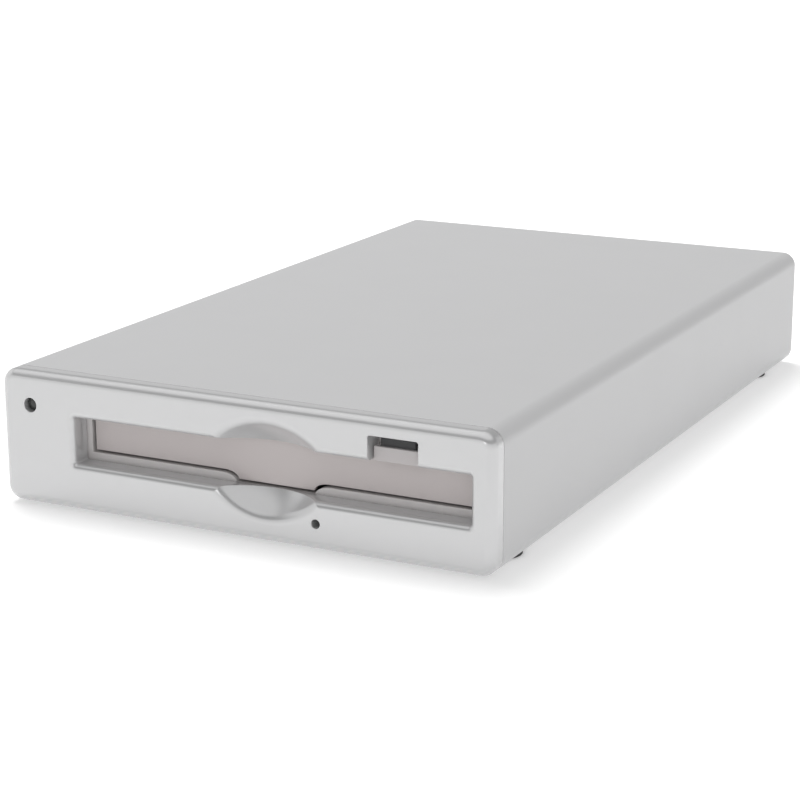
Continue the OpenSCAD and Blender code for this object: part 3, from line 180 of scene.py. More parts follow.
add_lamp("soft_lamp", place=(-0.45, 0.3, 1.4), size=1.0, watts=14.5, mirrored=False)
add_lamp("rim_lamp", place=(0.075, -1.3, 0.31), size=0.2, watts=0.4, mirrored=True)

# Floor
# A sheet of matt white paper, seen from above only. The camera and shiny surfaces see it white,
# with the soft shadow at the case's foot, and it throws some light of its own up at the case.
floor_half = 6.0
unseen_tone, seen_tone = 0.4, 0.88
unseen_glow, seen_glow = 0.72, 0.24
fade_start, fade_end = 0.8, 2.0
floor_mesh = bpy.data.meshes.new("paper_floor")
floor_mesh.from_pydata(
    [(x * floor_half, y * floor_half, 0.0) for x, y in ((-1, -1), (1, -1), (1, 1), (-1, 1))],
    [],
    [(0, 1, 2, 3)],
)
floor = bpy.data.objects.new("paper_floor", floor_mesh)
studio.collection.objects.link(floor)
paper = bpy.data.materials.new("white_paper")
paper.use_nodes = True
tree = paper.node_tree
tree.nodes.clear()
seeing = seeing_rays(tree)
side = add_node(tree, "ShaderNodeNewGeometry")
tones = {"A": grey(unseen_tone), "B": grey(seen_tone)}
tone = add_node(tree, "ShaderNodeMix", tones, data_type="RGBA")
tree.links.new(seeing, tone.inputs["Factor"])
matt = add_node(tree, "ShaderNodeBsdfDiffuse")
tree.links.new(tone.outputs["Result"], matt.inputs["Color"])
# Far from the drive, where the lamps give out, the paper stays white up to the horizon
distance = add_node(tree, "ShaderNodeVectorMath", operation="LENGTH")
tree.links.new(side.outputs["Position"], distance.inputs[0])
far_glow = ranged(tree, distance.outputs["Value"], fade_start, fade_end, seen_glow, 1.0)
glow_level = add_node(tree, "ShaderNodeMix", {"A": grey(unseen_glow)}, data_type="RGBA")
tree.links.new(seeing, glow_level.inputs["Factor"])
tree.links.new(far_glow, glow_level.inputs["B"])
glow = add_node(tree, "ShaderNodeEmission")
tree.links.new(glow_level.outputs["Result"], glow.inputs["Color"])
sheet = add_node(tree, "ShaderNodeAddShader")
tree.links.new(matt.outputs[0], sheet.inputs[0])
tree.links.new(glow.outputs[0], sheet.inputs[1])
clear = add_node(tree, "ShaderNodeBsdfTransparent")
one_sided = add_node(tree, "ShaderNodeMixShader")
tree.links.new(side.outputs["Backfacing"], one_sided.inputs["Fac"])
tree.links.new(sheet.outputs[0], one_sided.inputs[1])
tree.links.new(clear.outputs[0], one_sided.inputs[2])
paper_out = add_node(tree, "ShaderNodeOutputMaterial")
tree.links.new(one_sided.outputs[0], paper_out.inputs["Surface"])
floor_mesh.materials.append(paper)

# Front shell
# One moulding in satin silver: a face with a rounded front edge, a wide window with a rounded
# mouth, two shallow round dishes that meet it, a notch for the button, and two small holes. A
# spigot behind its rim fits into the case cover.
mm = 0.001
case_width, case_height, case_middle = 120.0, 30.4, 15.8
face_y, rim_y, tunnel_y = -100.0, -95.5, -94.8
edge_radius, face_radius, face_thickness = 3.5, 2.2, 2.4
rim_bevel, spigot_inset, spigot_depth = 0.12, 1.3, 5.0
pocket_wall, pocket_corner = 2.1, 0.6
over = 0.5  # how far a cutter runs past what it cuts


def outline(width, height, radius, middle=(0.0, 0.0), steps=8):
    """Closed rounded rectangle in X and Z, in millimetres."""
    points = []
    for side_x, side_z, start in ((1, 1, 0), (-1, 1, 90), (-1, -1, 180), (1, -1, 270)):
        for i in range(steps + 1):
            a = math.radians(start + 90 * i / steps)
            points.append(
                (
                    middle[0] + side_x * (width / 2 - radius) + radius * math.cos(a),
                    middle[1] + side_z * (height / 2 - radius) + radius * math.sin(a),
                )
            )
    return points


def circle(radius, middle=(0.0, 0.0), turns=48):
    """Closed circle in X and Z, in millimetres."""
    angles = [2 * math.pi * i / turns for i in range(turns)]
    return [(middle[0] + radius * math.cos(a), middle[1] + radius * math.sin(a)) for a in angles]


def mesh_of(bm, name):
    """Mesh of a closed solid, its faces turned outwards."""
    bmesh.ops.recalc_face_normals(bm, faces=bm.faces)
    mesh = bpy.data.meshes.new(name)
    bm.to_mesh(mesh)
    bm.free()
    return mesh


def loft(rings, name="loft"):
    """Closed solid through rings of (points in X and Z, depth y), flat at both ends."""
    bm = bmesh.new()
    loops = [[bm.verts.new((x * mm, y * mm, z * mm)) for x, z in ring] for ring, y in rings]
    for first, second in zip(loops, loops[1:]):
        count = len(first)
        for i in range(count):
            j = (i + 1) % count
            bm.faces.new((first[i], first[j], second[j], second[i]))
    bm.faces.new(loops[0])
    bm.faces.new(loops[-1])
    return mesh_of(bm, name)


def lathe(profile, at=(0.0, 0.0, 0.0), aim="y", turns=48):
    """Closed solid of revolution through (radius, distance) pairs along an axis."""
    mesh = loft([(circle(radius, turns=turns), distance) for radius, distance in profile])
    if aim == "z":
        mesh.transform(Matrix.Rotation(math.pi / 2, 4, "X"))
    mesh.transform(Matrix.Translation(Vector(at) * mm))
    return mesh


def evaluated_mesh(piece, name):
    """The piece's mesh with its modifiers made real."""
    graph = bpy.context.evaluated_depsgraph_get()
    graph.update()
    mesh = bpy.data.meshes.new_from_object(piece.evaluated_get(graph))
    mesh.name = name
    return mesh


def joined(mesh, others, operation):
    """The mesh with other closed meshes taken away from it or added to it."""
    base = bpy.data.objects.new("base_block", mesh)
    studio.collection.objects.link(base)
    tools = []
    for i, other in enumerate(others):
        tool = bpy.data.objects.new(f"tool_{i}", other)
        studio.collection.objects.link(tool)
        tools.append(tool)
        cut = base.modifiers.new(f"cut_{i}", "BOOLEAN")
        cut.operation = operation
        cut.solver = "EXACT"
        cut.object = tool
    result = evaluated_mesh(base, mesh.name)
    for thing in [base, *tools]:
        bpy.data.objects.remove(thing)
    return result


smooth_angle = math.radians(32.0)
flat_face_weight = 100


def smooth_faces(mesh):
    """Smooth shading over gentle edges, with flat faces kept flat."""
    mesh.shade_smooth()
    mesh.set_sharp_from_angle(angle=smooth_angle)
    piece = bpy.data.objects.new("shading", mesh)
    studio.collection.objects.link(piece)
    weighted = piece.modifiers.new("flat", "WEIGHTED_NORMAL")
    weighted.keep_sharp = True
    weighted.weight = flat_face_weight
    result = evaluated_mesh(piece, mesh.name)
    bpy.data.objects.remove(piece)
    return result


def add_piece(name, mesh, body, finish, replaced):
    """Puts a finished mesh in the scene as one piece that rides on a body."""
    mesh.name = name
    mesh.materials.clear()
    mesh.materials.append(finish)
    piece = bpy.data.objects.new(name, mesh)
    studio.collection.objects.link(piece)
    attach(piece, body)
    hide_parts(*replaced)
    return piece


def group_of(name, inputs, outputs):
    """Empty shader node group with named sockets; inputs are (name, kind, value)."""
    group = bpy.data.node_groups.new(name, "ShaderNodeTree")
    for label, kind, value in inputs:
        socket = group.interface.new_socket(label, in_out="INPUT", socket_type=kind)
        socket.default_value = value
    for label, kind in outputs:
        group.interface.new_socket(label, in_out="OUTPUT", socket_type=kind)
    return group, group.nodes.new("NodeGroupInput"), group.nodes.new("NodeGroupOutput")


# Fine grain: a broad mottling of the colour, and a fine noise in the roughness and the surface
grain_group, grain_in, grain_out = group_of(
    "fine_grain",
    [
        ("Colour", "NodeSocketColor", grey(0.8)),
        ("Mottle", "NodeSocketFloat", 0.03),
        ("Mottle Scale", "NodeSocketFloat", 60.0),
        ("Roughness", "NodeSocketFloat", 0.4),
        ("Roughness Spread", "NodeSocketFloat", 0.05),
        ("Grain Scale", "NodeSocketFloat", 6000.0),
        ("Grain Depth", "NodeSocketFloat", 0.1),
        ("Stretch", "NodeSocketVector", (1.0, 1.0, 1.0)),
    ],
    [
        ("Colour", "NodeSocketColor"),
        ("Roughness", "NodeSocketFloat"),
        ("Normal", "NodeSocketVector"),
    ],
)
noise_middle, grain_height = 0.5, 0.0001
place = add_node(grain_group, "ShaderNodeTexCoord")
stretched = add_node(grain_group, "ShaderNodeVectorMath", operation="MULTIPLY")
fine = add_node(grain_group, "ShaderNodeTexNoise", {"Detail": 3.0})
broad = add_node(grain_group, "ShaderNodeTexNoise", {"Detail": 4.0})
bump = add_node(grain_group, "ShaderNodeBump", {"Distance": grain_height})
tint = add_node(grain_group, "ShaderNodeVectorMath", operation="SCALE")
link = grain_group.links.new
link(place.outputs["Object"], stretched.inputs[0])
link(grain_in.outputs["Stretch"], stretched.inputs[1])
link(stretched.outputs[0], fine.inputs["Vector"])
link(grain_in.outputs["Grain Scale"], fine.inputs["Scale"])
link(place.outputs["Object"], broad.inputs["Vector"])
link(grain_in.outputs["Mottle Scale"], broad.inputs["Scale"])
broad_lift = maths(grain_group, "SUBTRACT", broad.outputs["Fac"], noise_middle)
colour_lift = maths(grain_group, "MULTIPLY", broad_lift, grain_in.outputs["Mottle"])
link(grain_in.outputs["Colour"], tint.inputs[0])
link(maths(grain_group, "ADD", colour_lift, 1.0), tint.inputs["Scale"])
link(tint.outputs[0], grain_out.inputs["Colour"])
fine_lift = maths(grain_group, "SUBTRACT", fine.outputs["Fac"], noise_middle)
spread, level = grain_in.outputs["Roughness Spread"], grain_in.outputs["Roughness"]
link(maths(grain_group, "MULTIPLY_ADD", fine_lift, spread, level), grain_out.inputs["Roughness"])
link(fine.outputs["Fac"], bump.inputs["Height"])
link(grain_in.outputs["Grain Depth"], bump.inputs["Strength"])
link(bump.outputs["Normal"], grain_out.inputs["Normal"])

# Edge wear: patches along the edges, which the mesh marks in its edge attribute, rubbed lighter
wear_group, wear_in, wear_out = group_of(
    "edge_wear",
    [
        ("Colour", "NodeSocketColor", grey(0.8)),
        ("Worn Colour", "NodeSocketColor", grey(0.9)),
        ("Amount", "NodeSocketFloat", 0.5),
        ("Scale", "NodeSocketFloat", 400.0),
    ],
    [("Colour", "NodeSocketColor"), ("Worn", "NodeSocketFloat")],
)
edge_mask = add_node(wear_group, "ShaderNodeAttribute", attribute_name="edge")
place = add_node(wear_group, "ShaderNodeTexCoord")
patches = add_node(wear_group, "ShaderNodeTexNoise", {"Detail": 5.0})
mix = add_node(wear_group, "ShaderNodeMix", data_type="RGBA")
link = wear_group.links.new
link(place.outputs["Object"], patches.inputs["Vector"])
link(wear_in.outputs["Scale"], patches.inputs["Scale"])
rubbed_edge = maths(wear_group, "MULTIPLY", edge_mask.outputs["Fac"], patches.outputs["Fac"])
amount = maths(wear_group, "MULTIPLY", rubbed_edge, wear_in.outputs["Amount"])
amount.node.use_clamp = True
link(amount, mix.inputs["Factor"])
link(wear_in.outputs["Colour"], mix.inputs["A"])
link(wear_in.outputs["Worn Colour"], mix.inputs["B"])
link(mix.outputs["Result"], wear_out.inputs["Colour"])
link(amount, wear_out.inputs["Worn"])


def finish_of(
    name,
    colour,
    metallic=0.0,
    roughness=0.45,
    mottle=0.03,
    mottle_scale=60.0,
    spread=0.06,
    grain=6000.0,
    depth=0.1,
    stretch=(1.0, 1.0, 1.0),
    worn=None,
    wear=0.0,
    **sockets,
):
    """Material with its own grain, mottling and worn edges; sockets go on the shader itself."""
    material = bpy.data.materials.new(name)
    material.use_nodes = True
    tree = material.node_tree
    shader = tree.nodes["Principled BSDF"]
    shader.inputs["Metallic"].default_value = metallic
    for socket, value in sockets.items():
        shader.inputs[socket.replace("_", " ")].default_value = value
    grain_values = {
        "Colour": (*colour, 1.0),
        "Mottle": mottle,
        "Mottle Scale": mottle_scale,
        "Roughness": roughness,
        "Roughness Spread": spread,
        "Grain Scale": grain,
        "Grain Depth": depth,
        "Stretch": stretch,
    }
    surface = add_node(tree, "ShaderNodeGroup", grain_values, node_tree=grain_group)
    if worn:
        wear_values = {"Colour": (*colour, 1.0), "Worn Colour": (*worn, 1.0), "Amount": wear}
        rubbed = add_node(tree, "ShaderNodeGroup", wear_values, node_tree=wear_group)
        tree.links.new(rubbed.outputs["Colour"], surface.inputs["Colour"])
    tree.links.new(surface.outputs["Colour"], shader.inputs["Base Color"])
    tree.links.new(surface.outputs["Roughness"], shader.inputs["Roughness"])
    tree.links.new(surface.outputs["Normal"], shader.inputs["Normal"])
    return material


satin_silver = finish_of(
    "satin_silver",
    (0.61, 0.61, 0.615),
    metallic=0.42,
    roughness=0.2,
    mottle=0.015,
    spread=0.03,
    depth=0.01,
)

# From front to back the outline widens round the face's edge and steps in behind the rim to the
# spigot. Inside that it comes forward again, as the wall of a pocket behind the face.
round_steps = 8
quarter = [math.radians(90 * i / round_steps) for i in range(round_steps + 1)]
spigot_end = rim_y + spigot_depth
shell_steps = [
    (face_y + face_radius * (1 - math.cos(a)), face_radius * (1 - math.sin(a))) for a in quarter
]
shell_steps += [(rim_y - rim_bevel, 0.0), (rim_y, rim_bevel)]
shell_steps += [(rim_y, spigot_inset), (spigot_end, spigot_inset)]
shell_rings = []
for y, inset in shell_steps:
    width, height = case_width - 2 * inset, case_height - 2 * inset
    shell_rings.append((outline(width, height, edge_radius - inset, (0.0, case_middle)), y))
for y in (spigot_end, face_y + face_thickness):
    width, height = case_width - 2 * pocket_wall, case_height - 2 * pocket_wall
    shell_rings.append((outline(width, height, pocket_corner, (0.0, case_middle)), y))

# Inside, a thick frame surrounds the window, and two posts hold the indicator's board
surround_width, surround_height, surround_corner, surround_x = 99.4, 25.2, 0.5, 6.9
light_x, light_z = -52.2, 23.4
post_radius, post_offset, post_z, post_end = 1.3, 3.2, 17.4, -94.6
root_y = face_y + face_thickness / 2
frame_ring = outline(
    surround_width, surround_height, surround_corner, (surround_x, case_middle), steps=2
)
surround = loft([(frame_ring, root_y), (frame_ring, tunnel_y)])
board_posts = []
for side_x in (-1, 1):
    middle = (light_x + side_x * post_offset, post_z)
    post_ring = outline(2 * post_radius, 2 * post_radius, post_radius, middle)
    board_posts.append(loft([(post_ring, root_y), (post_ring, post_end)]))
shell = joined(loft(shell_rings, "front_shell"), [surround, *board_posts], "UNION")


lip_steps = 6


def mouth(width, height, corner, middle, lip, end_y):
    """Cutter for an opening in the face, its rim rounded by lip."""
    rings = [(outline(width + 2 * lip, height + 2 * lip, corner + lip, middle), face_y - over)]
    for i in range(lip_steps + 1):
        a = math.radians(90 * i / lip_steps)
        grow = lip * (1 - math.sin(a))
        ring = outline(width + 2 * grow, height + 2 * grow, corner + grow, middle)
        rings.append((ring, face_y + lip * (1 - math.cos(a))))
    rings.append((outline(width, height, corner, middle), end_y))
    return loft(rings)


window_x, window_low, window_high = 6.8, 11.25, 21.7
window_width, window_corner, window_lip = 95.6, 0.4, 1.5
window_height, window_middle = window_high - window_low, (window_low + window_high) / 2
window_cut = mouth(
    window_width,
    window_height,
    window_corner,
    (window_x, window_middle),
    window_lip,
    tunnel_y + over,
)

# Each dish is part of a ball that meets the face in an arc with a soft rim, and the window's edge
# at the drive's own bezel
dish_x, dish_rim, dish_overlap = 7.3, 3.0, 1.5
dish_turns, dish_steps, rim_steps = 160, 28, 8


def dish(arc, rise, window_z, up_or_down):
    """Cutter for a round dish whose arc on the face passes rise inside the window's edge."""
    tunnel = tunnel_y - face_y
    out = (arc * arc - rise * rise - tunnel * tunnel) / (2 * tunnel)
    ball = math.hypot(arc, out)
    tangent = dish_rim * math.tan(math.acos(out / ball) / 2)
    start = math.asin(arc / ball) - tangent / ball
    end = (ball * math.sin(start), ball * math.cos(start) - out)
    profile = [(arc + tangent, -over)]
    for i in range(rim_steps + 1):
        t = i / rim_steps
        radius = (1 - t) ** 2 * (arc + tangent) + 2 * t * (1 - t) * arc + t * t * end[0]
        profile.append((radius, t * t * end[1]))
    for i in range(1, dish_steps):
        a = start * (1 - i / dish_steps)
        profile.append((ball * math.sin(a), ball * math.cos(a) - out))
    middle = (dish_x, window_z - up_or_down * rise)
    rings = [(circle(radius, middle, dish_turns), face_y + depth) for radius, depth in profile]
    bm = bmesh.new()
    bm.from_mesh(loft(rings))
    cut = bmesh.ops.bisect_plane(
        bm,
        geom=bm.verts[:] + bm.edges[:] + bm.faces[:],
        plane_co=(0, 0, (window_middle - up_or_down * dish_overlap) * mm),
        plane_no=(0, 0, -up_or_down),
        clear_outer=True,
    )
    edges = [e for e in cut["geom_cut"] if isinstance(e, bmesh.types.BMEdge)]
    bmesh.ops.contextual_create(bm, geom=edges)
    return mesh_of(bm, "dish")


low_dish = dish(arc=17.6, rise=12.35, window_z=window_low, up_or_down=-1)
top_dish = dish(arc=19.1, rise=13.9, window_z=window_high, up_or_down=1)

# The notch for the button, the two small holes, and the holes for the two front case screws
notch_x, notch_low, notch_high = 37.3, 16.5, 27.2
notch_width, notch_corner, notch_lip = 11.4, 0.5, 0.35
notch_cut = mouth(
    notch_width,
    notch_high - notch_low,
    notch_corner,
    (notch_x, (notch_low + notch_high) / 2),
    notch_lip,
    tunnel_y + over,
)


def hole(radius, middle, lip, end_y):
    """Cutter for a round hole in the face."""
    return mouth(2 * radius, 2 * radius, radius, middle, lip, end_y)


light_hole_depth = 3.0
light_hole = hole(1.6, (light_x, light_z), lip=0.2, end_y=face_y + light_hole_depth)
pinhole = hole(1.0, (19.3, 6.5), lip=0.15, end_y=tunnel_y + over)
screw_radius, screw_x, front_screw_y = 1.25, 53.0, -92.6
screw_hole_low, screw_hole_depth = 0.5, 3.6
screw_hole = ((screw_radius, 0.0), (screw_radius, screw_hole_depth))
screw_cuts = [
    lathe(screw_hole, (x, front_screw_y, screw_hole_low), "z") for x in (-screw_x, screw_x)
]
cutters = [window_cut, low_dish, top_dish, notch_cut, light_hole, pinhole, *screw_cuts]
shell = smooth_faces(joined(shell, cutters, "DIFFERENCE"))
add_piece("front_shell", shell, "housing", satin_silver, ["front_bezel"])

# Case cover
# Steel sheet folded round the top, the sides and under the long edges, painted satin silver. Its
# cut ends are slightly eased.
sharp_angle, flat_angle = math.radians(30.0), math.radians(0.8)
merge_distance = 1e-6


def softened(node, width, segments=2):
    """Copy of a CAD node's mesh with its sharp edges rounded and marked for wear."""
    source = cad_nodes[node]
    bm = bmesh.new()
    bm.from_mesh(source.data)
    bmesh.ops.transform(bm, matrix=source.matrix_world, verts=bm.verts)
    bmesh.ops.remove_doubles(bm, verts=bm.verts, dist=merge_distance)
    bmesh.ops.dissolve_limit(
        bm, angle_limit=flat_angle, verts=bm.verts, edges=bm.edges, delimit=set()
    )
    bmesh.ops.recalc_face_normals(bm, faces=bm.faces)
    sharp = [e for e in bm.edges if len(e.link_faces) == 2 and e.calc_face_angle(0.0) > sharp_angle]
    mark = bm.faces.layers.float.new("edge")
    rounded = bmesh.ops.bevel(
        bm,
        geom=sharp,
        offset=width * mm,
        offset_type="OFFSET",
        segments=segments,
        profile=0.5,
        affect="EDGES",
        clamp_overlap=True,
    )
    for face in rounded["faces"]:
        face[mark] = 1.0
    mesh = bpy.data.meshes.new(node)
    bm.to_mesh(mesh)
    bm.free()
    return smooth_faces(mesh)


silver_paint = finish_of(
    "silver_paint",
    (0.55, 0.55, 0.555),
    metallic=0.12,
    roughness=0.42,
    mottle=0.025,
    spread=0.08,
    depth=0.08,
    worn=(0.66, 0.66, 0.67),
    wear=0.5,
)
cover_mesh = softened("top_cover", width=0.14)
add_piece("case_cover", cover_mesh, "housing", silver_paint, ["top_cover"])

# Flap and drive bezel
# Moulded plastic, the flap pinkish grey and the bezel paler. The bezel is fixed to the mechanism,
# the flap hangs in it on two pins, and a spring holds it shut. Its tongue hangs in a cut-out of
# the bezel's lower edge.
flap_plastic = finish_of(
    "flap_plastic",
    (0.535, 0.492, 0.486),
    roughness=0.5,
    mottle=0.03,
    depth=0.16,
    worn=(0.53, 0.49, 0.485),
    wear=0.5,
)
flap_mesh = softened("dust_flap", width=0.22)
# The flap shows a dark gap at its sides and below, so it is drawn in a little from the solid
hinge_z, side_share, low_share = 22.2, 0.989, 0.965
for corner in flap_mesh.vertices:
    corner.co.x = window_x * mm + (corner.co.x - window_x * mm) * side_share
    if corner.co.z < hinge_z * mm:
        corner.co.z = hinge_z * mm + (corner.co.z - hinge_z * mm) * low_share
add_piece("dust_door", flap_mesh, "flap", flap_plastic, ["dust_flap"])
pale_plastic = finish_of(
    "pale_plastic",
    (0.66, 0.635, 0.63),
    roughness=0.45,
    mottle=0.02,
    depth=0.12,
    worn=(0.7, 0.68, 0.67),
    wear=0.5,
)
bezel_mesh = softened("drive_bezel", width=0.15)
add_piece("drive_face", bezel_mesh, "housing", pale_plastic, ["drive_bezel"])

# Eject button
# Plastic cap, painted silver grey, on a near-black lever and stem that pass into the mechanism.
# Their near-black is partly dark plastic and partly painted shade for the notch above the cap.
# Its spring and switch sit behind it.
button_paint = finish_of(
    "button_plastic",
    (0.48, 0.455, 0.455),
    metallic=0.1,
    roughness=0.4,
    mottle=0.02,
    depth=0.08,
    worn=(0.6, 0.58, 0.58),
    wear=0.5,
)
# Near-black for the lever and stem: partly dark plastic, partly painted shade in the notch above
# the cap
bare_plastic = finish_of("bare_plastic", (0.03, 0.03, 0.032), roughness=0.5, depth=0.2)
key_mesh = softened("eject_button", width=0.25, segments=3)
eject_key = add_piece(
    "eject_key", key_mesh, "eject_button", button_paint, ["eject_button"]
)
eject_key.data.materials.append(bare_plastic)
# Faces behind or above the cap take the near-black finish, painted shade in the notch above it
cap_back, cap_top = -96.45, 24.7
for face in eject_key.data.polygons:
    lever_shade_face = face.center.y > cap_back * mm or face.center.z > cap_top * mm
    face.material_index = int(lever_shade_face)

# Light pipe
# Dark see-through plastic rod with a domed front end, pressed into the shell from behind until its
# flange meets the back of the face.
smoke = finish_of(
    "smoke_plastic", (0.012, 0.016, 0.013), roughness=0.2, mottle=0.1, depth=0.03, Coat_Weight=0.3
)
rod_setback, rod_radius, dome_depth = 1.0, 1.55, 0.6
flange_radius, flange_start, flange_end, flange_bevel = 2.6, 1.4, 2.2, 0.1
rod_profile = (
    (0.2, 0.0),
    (1.0, 0.06),
    (1.4, 0.3),
    (rod_radius, dome_depth),
    (rod_radius, flange_start),
    (flange_radius - flange_bevel, flange_start),
    (flange_radius, flange_start + flange_bevel),
    (flange_radius, flange_end - flange_bevel),
    (flange_radius - flange_bevel, flange_end),
)
rod_mesh = smooth_faces(lathe(rod_profile, (light_x, face_y + rod_setback, light_z)))
add_piece("light_rod", rod_mesh, "housing", smoke, ["light_pipe"])

# Screws
# Turned steel with a countersunk head and a pressed cross recess. One screw is made here, head
# down, and Geometry Nodes puts it at all eight places under the case, each turned its own way.
screw_finish = finish_of(
    "screw_steel", (0.52, 0.52, 0.54), metallic=0.95, roughness=0.34, mottle=0.06, depth=0.12
)
head_radius, head_depth, screw_length = 2.3, 1.0, 2.35
bevel_in, bevel_down = 0.12, 0.1
tip_length, tip_taper = 0.4, 0.3
recess_reach, recess_depth, recess_over = head_radius * 0.52, head_depth * 0.7, 0.2
blade_share, mouth_share, floor_share = 0.26, 1.06, 0.55
screw_profile = (
    (0.1, 0.0),
    (head_radius - bevel_in, 0.0),
    (head_radius, -bevel_down),
    (screw_radius, -head_depth),
    (screw_radius, -screw_length + tip_length),
    (screw_radius - tip_taper, -screw_length),
)


def recess_blade(x, y):
    """Tapered cutter for one bar of the cross, reaching x and y from the middle."""
    bm = bmesh.new()
    rings = []
    for z, share in ((recess_over, mouth_share), (-recess_depth, floor_share)):
        rings.append(
            [
                bm.verts.new((side_x * x * share * mm, side_y * y * share * mm, z * mm))
                for side_x, side_y in ((-1, -1), (1, -1), (1, 1), (-1, 1))
            ]
        )
    for i in range(4):
        j = (i + 1) % 4
        bm.faces.new((rings[0][i], rings[0][j], rings[1][j], rings[1][i]))
    bm.faces.new(rings[0])
    bm.faces.new(rings[1])
    return mesh_of(bm, "blade")


blade_half = recess_reach * blade_share
cross = [recess_blade(recess_reach, blade_half), recess_blade(blade_half, recess_reach)]
case_screw = smooth_faces(joined(lathe(screw_profile, aim="z", turns=40), cross, "DIFFERENCE"))

repeat_parts = bpy.data.node_groups.new("part_at_points", "GeometryNodeTree")
for label, kind, way in (
    ("Geometry", "NodeSocketGeometry", "INPUT"),
    ("Part", "NodeSocketObject", "INPUT"),
    ("Finish", "NodeSocketMaterial", "INPUT"),
    ("Turn Step", "NodeSocketFloat", "INPUT"),
    ("Upside Down", "NodeSocketBool", "INPUT"),
    ("Geometry", "NodeSocketGeometry", "OUTPUT"),
):
    repeat_parts.interface.new_socket(label, in_out=way, socket_type=kind)
enter = add_node(repeat_parts, "NodeGroupInput")
leave = add_node(repeat_parts, "NodeGroupOutput")
part_shape = add_node(repeat_parts, "GeometryNodeObjectInfo")
points = add_node(repeat_parts, "GeometryNodeInstanceOnPoints")
flipped = add_node(repeat_parts, "GeometryNodeSwitch", input_type="FLOAT")
flipped.inputs["True"].default_value = math.pi
index = add_node(repeat_parts, "GeometryNodeInputIndex")
turned = add_node(repeat_parts, "ShaderNodeCombineXYZ")
real = add_node(repeat_parts, "GeometryNodeRealizeInstances")
coloured = add_node(repeat_parts, "GeometryNodeSetMaterial")
link = repeat_parts.links.new
link(enter.outputs["Geometry"], points.inputs["Points"])
link(enter.outputs["Part"], part_shape.inputs["Object"])
link(part_shape.outputs["Geometry"], points.inputs["Instance"])
link(enter.outputs["Upside Down"], flipped.inputs["Switch"])
link(flipped.outputs[0], turned.inputs["X"])
own_turn = maths(repeat_parts, "MULTIPLY", index.outputs[0], enter.outputs["Turn Step"])
link(own_turn, turned.inputs["Z"])
link(turned.outputs[0], points.inputs["Rotation"])
link(points.outputs["Instances"], real.inputs["Geometry"])
link(real.outputs["Geometry"], coloured.inputs["Geometry"])
link(enter.outputs["Finish"], coloured.inputs["Material"])
link(coloured.outputs["Geometry"], leave.inputs["Geometry"])
turn_step = 0.7


def repeated(name, part_mesh, places, finish, upside_down=False):
    """One mesh that holds the part at every place, in millimetres, each turned a step further."""
    part = bpy.data.objects.new(f"{name}_part", part_mesh)
    studio.collection.objects.link(part)
    cloud = bpy.data.meshes.new(name)
    cloud.from_pydata([tuple(v * mm for v in place) for place in places], [], [])
    carrier = bpy.data.objects.new(name, cloud)
    studio.collection.objects.link(carrier)
    repeat = carrier.modifiers.new("repeat", "NODES")
    repeat.node_group = repeat_parts
    inputs = [s for s in repeat_parts.interface.items_tree if s.in_out == "INPUT"]
    sockets = {s.name: s.identifier for s in inputs}
    repeat[sockets["Part"]] = part
    repeat[sockets["Finish"]] = finish
    repeat[sockets["Turn Step"]] = turn_step
    repeat[sockets["Upside Down"]] = upside_down
    result = evaluated_mesh(carrier, name)
    bpy.data.objects.remove(carrier)
    bpy.data.objects.remove(part)
    return result


# Three screws along each side go up through the cover's returns, the front ones into the shell's
# spigot, and two at the back join the base plate to the rear panel's flange
foot_height, base_low = 0.6, 1.8
middle_screw_y, back_screw_y = 0.0, 90.0
flange_screw_x, flange_screw_y = 30.0, 93.5
case_places = []
for side_x in (-1, 1):
    for y in (front_screw_y, middle_screw_y, back_screw_y):
        case_places.append((side_x * screw_x, y, foot_height))
for side_x in (-1, 1):
    case_places.append((side_x * flange_screw_x, flange_screw_y, base_low))
screw_mesh = repeated("case_screw_set", case_screw, case_places, screw_finish, upside_down=True)
add_piece("case_screw_set", screw_mesh, "housing", screw_finish, ["case_screws"])

# Feet
# Four thin rubber discs glued under the corners, with a rounded lower edge and a shallow middle.
foot_rubber = finish_of(
    "foot_rubber", (0.025, 0.025, 0.026), roughness=0.75, mottle=0.15, spread=0.1, depth=0.3
)
foot_radius, foot_x, foot_y = 5.0, 53.0, 82.0
hollow_radius, hollow_depth, rim_radius = 3.6, 0.05, 4.0
edge_in, edge_up = 0.2, 0.15
foot_profile = (
    (0.2, hollow_depth),
    (hollow_radius, hollow_depth),
    (rim_radius, 0.0),
    (foot_radius - edge_in, 0.0),
    (foot_radius, edge_up),
    (foot_radius, foot_height),
)
foot = lathe(foot_profile, aim="z")
foot_places = [(x, y, 0.0) for x in (-foot_x, foot_x) for y in (-foot_y, foot_y)]
foot_set = smooth_faces(repeated("foot_set", foot, foot_places, foot_rubber))
add_piece("foot_set", foot_set, "housing", foot_rubber, ["rubber_feet"])

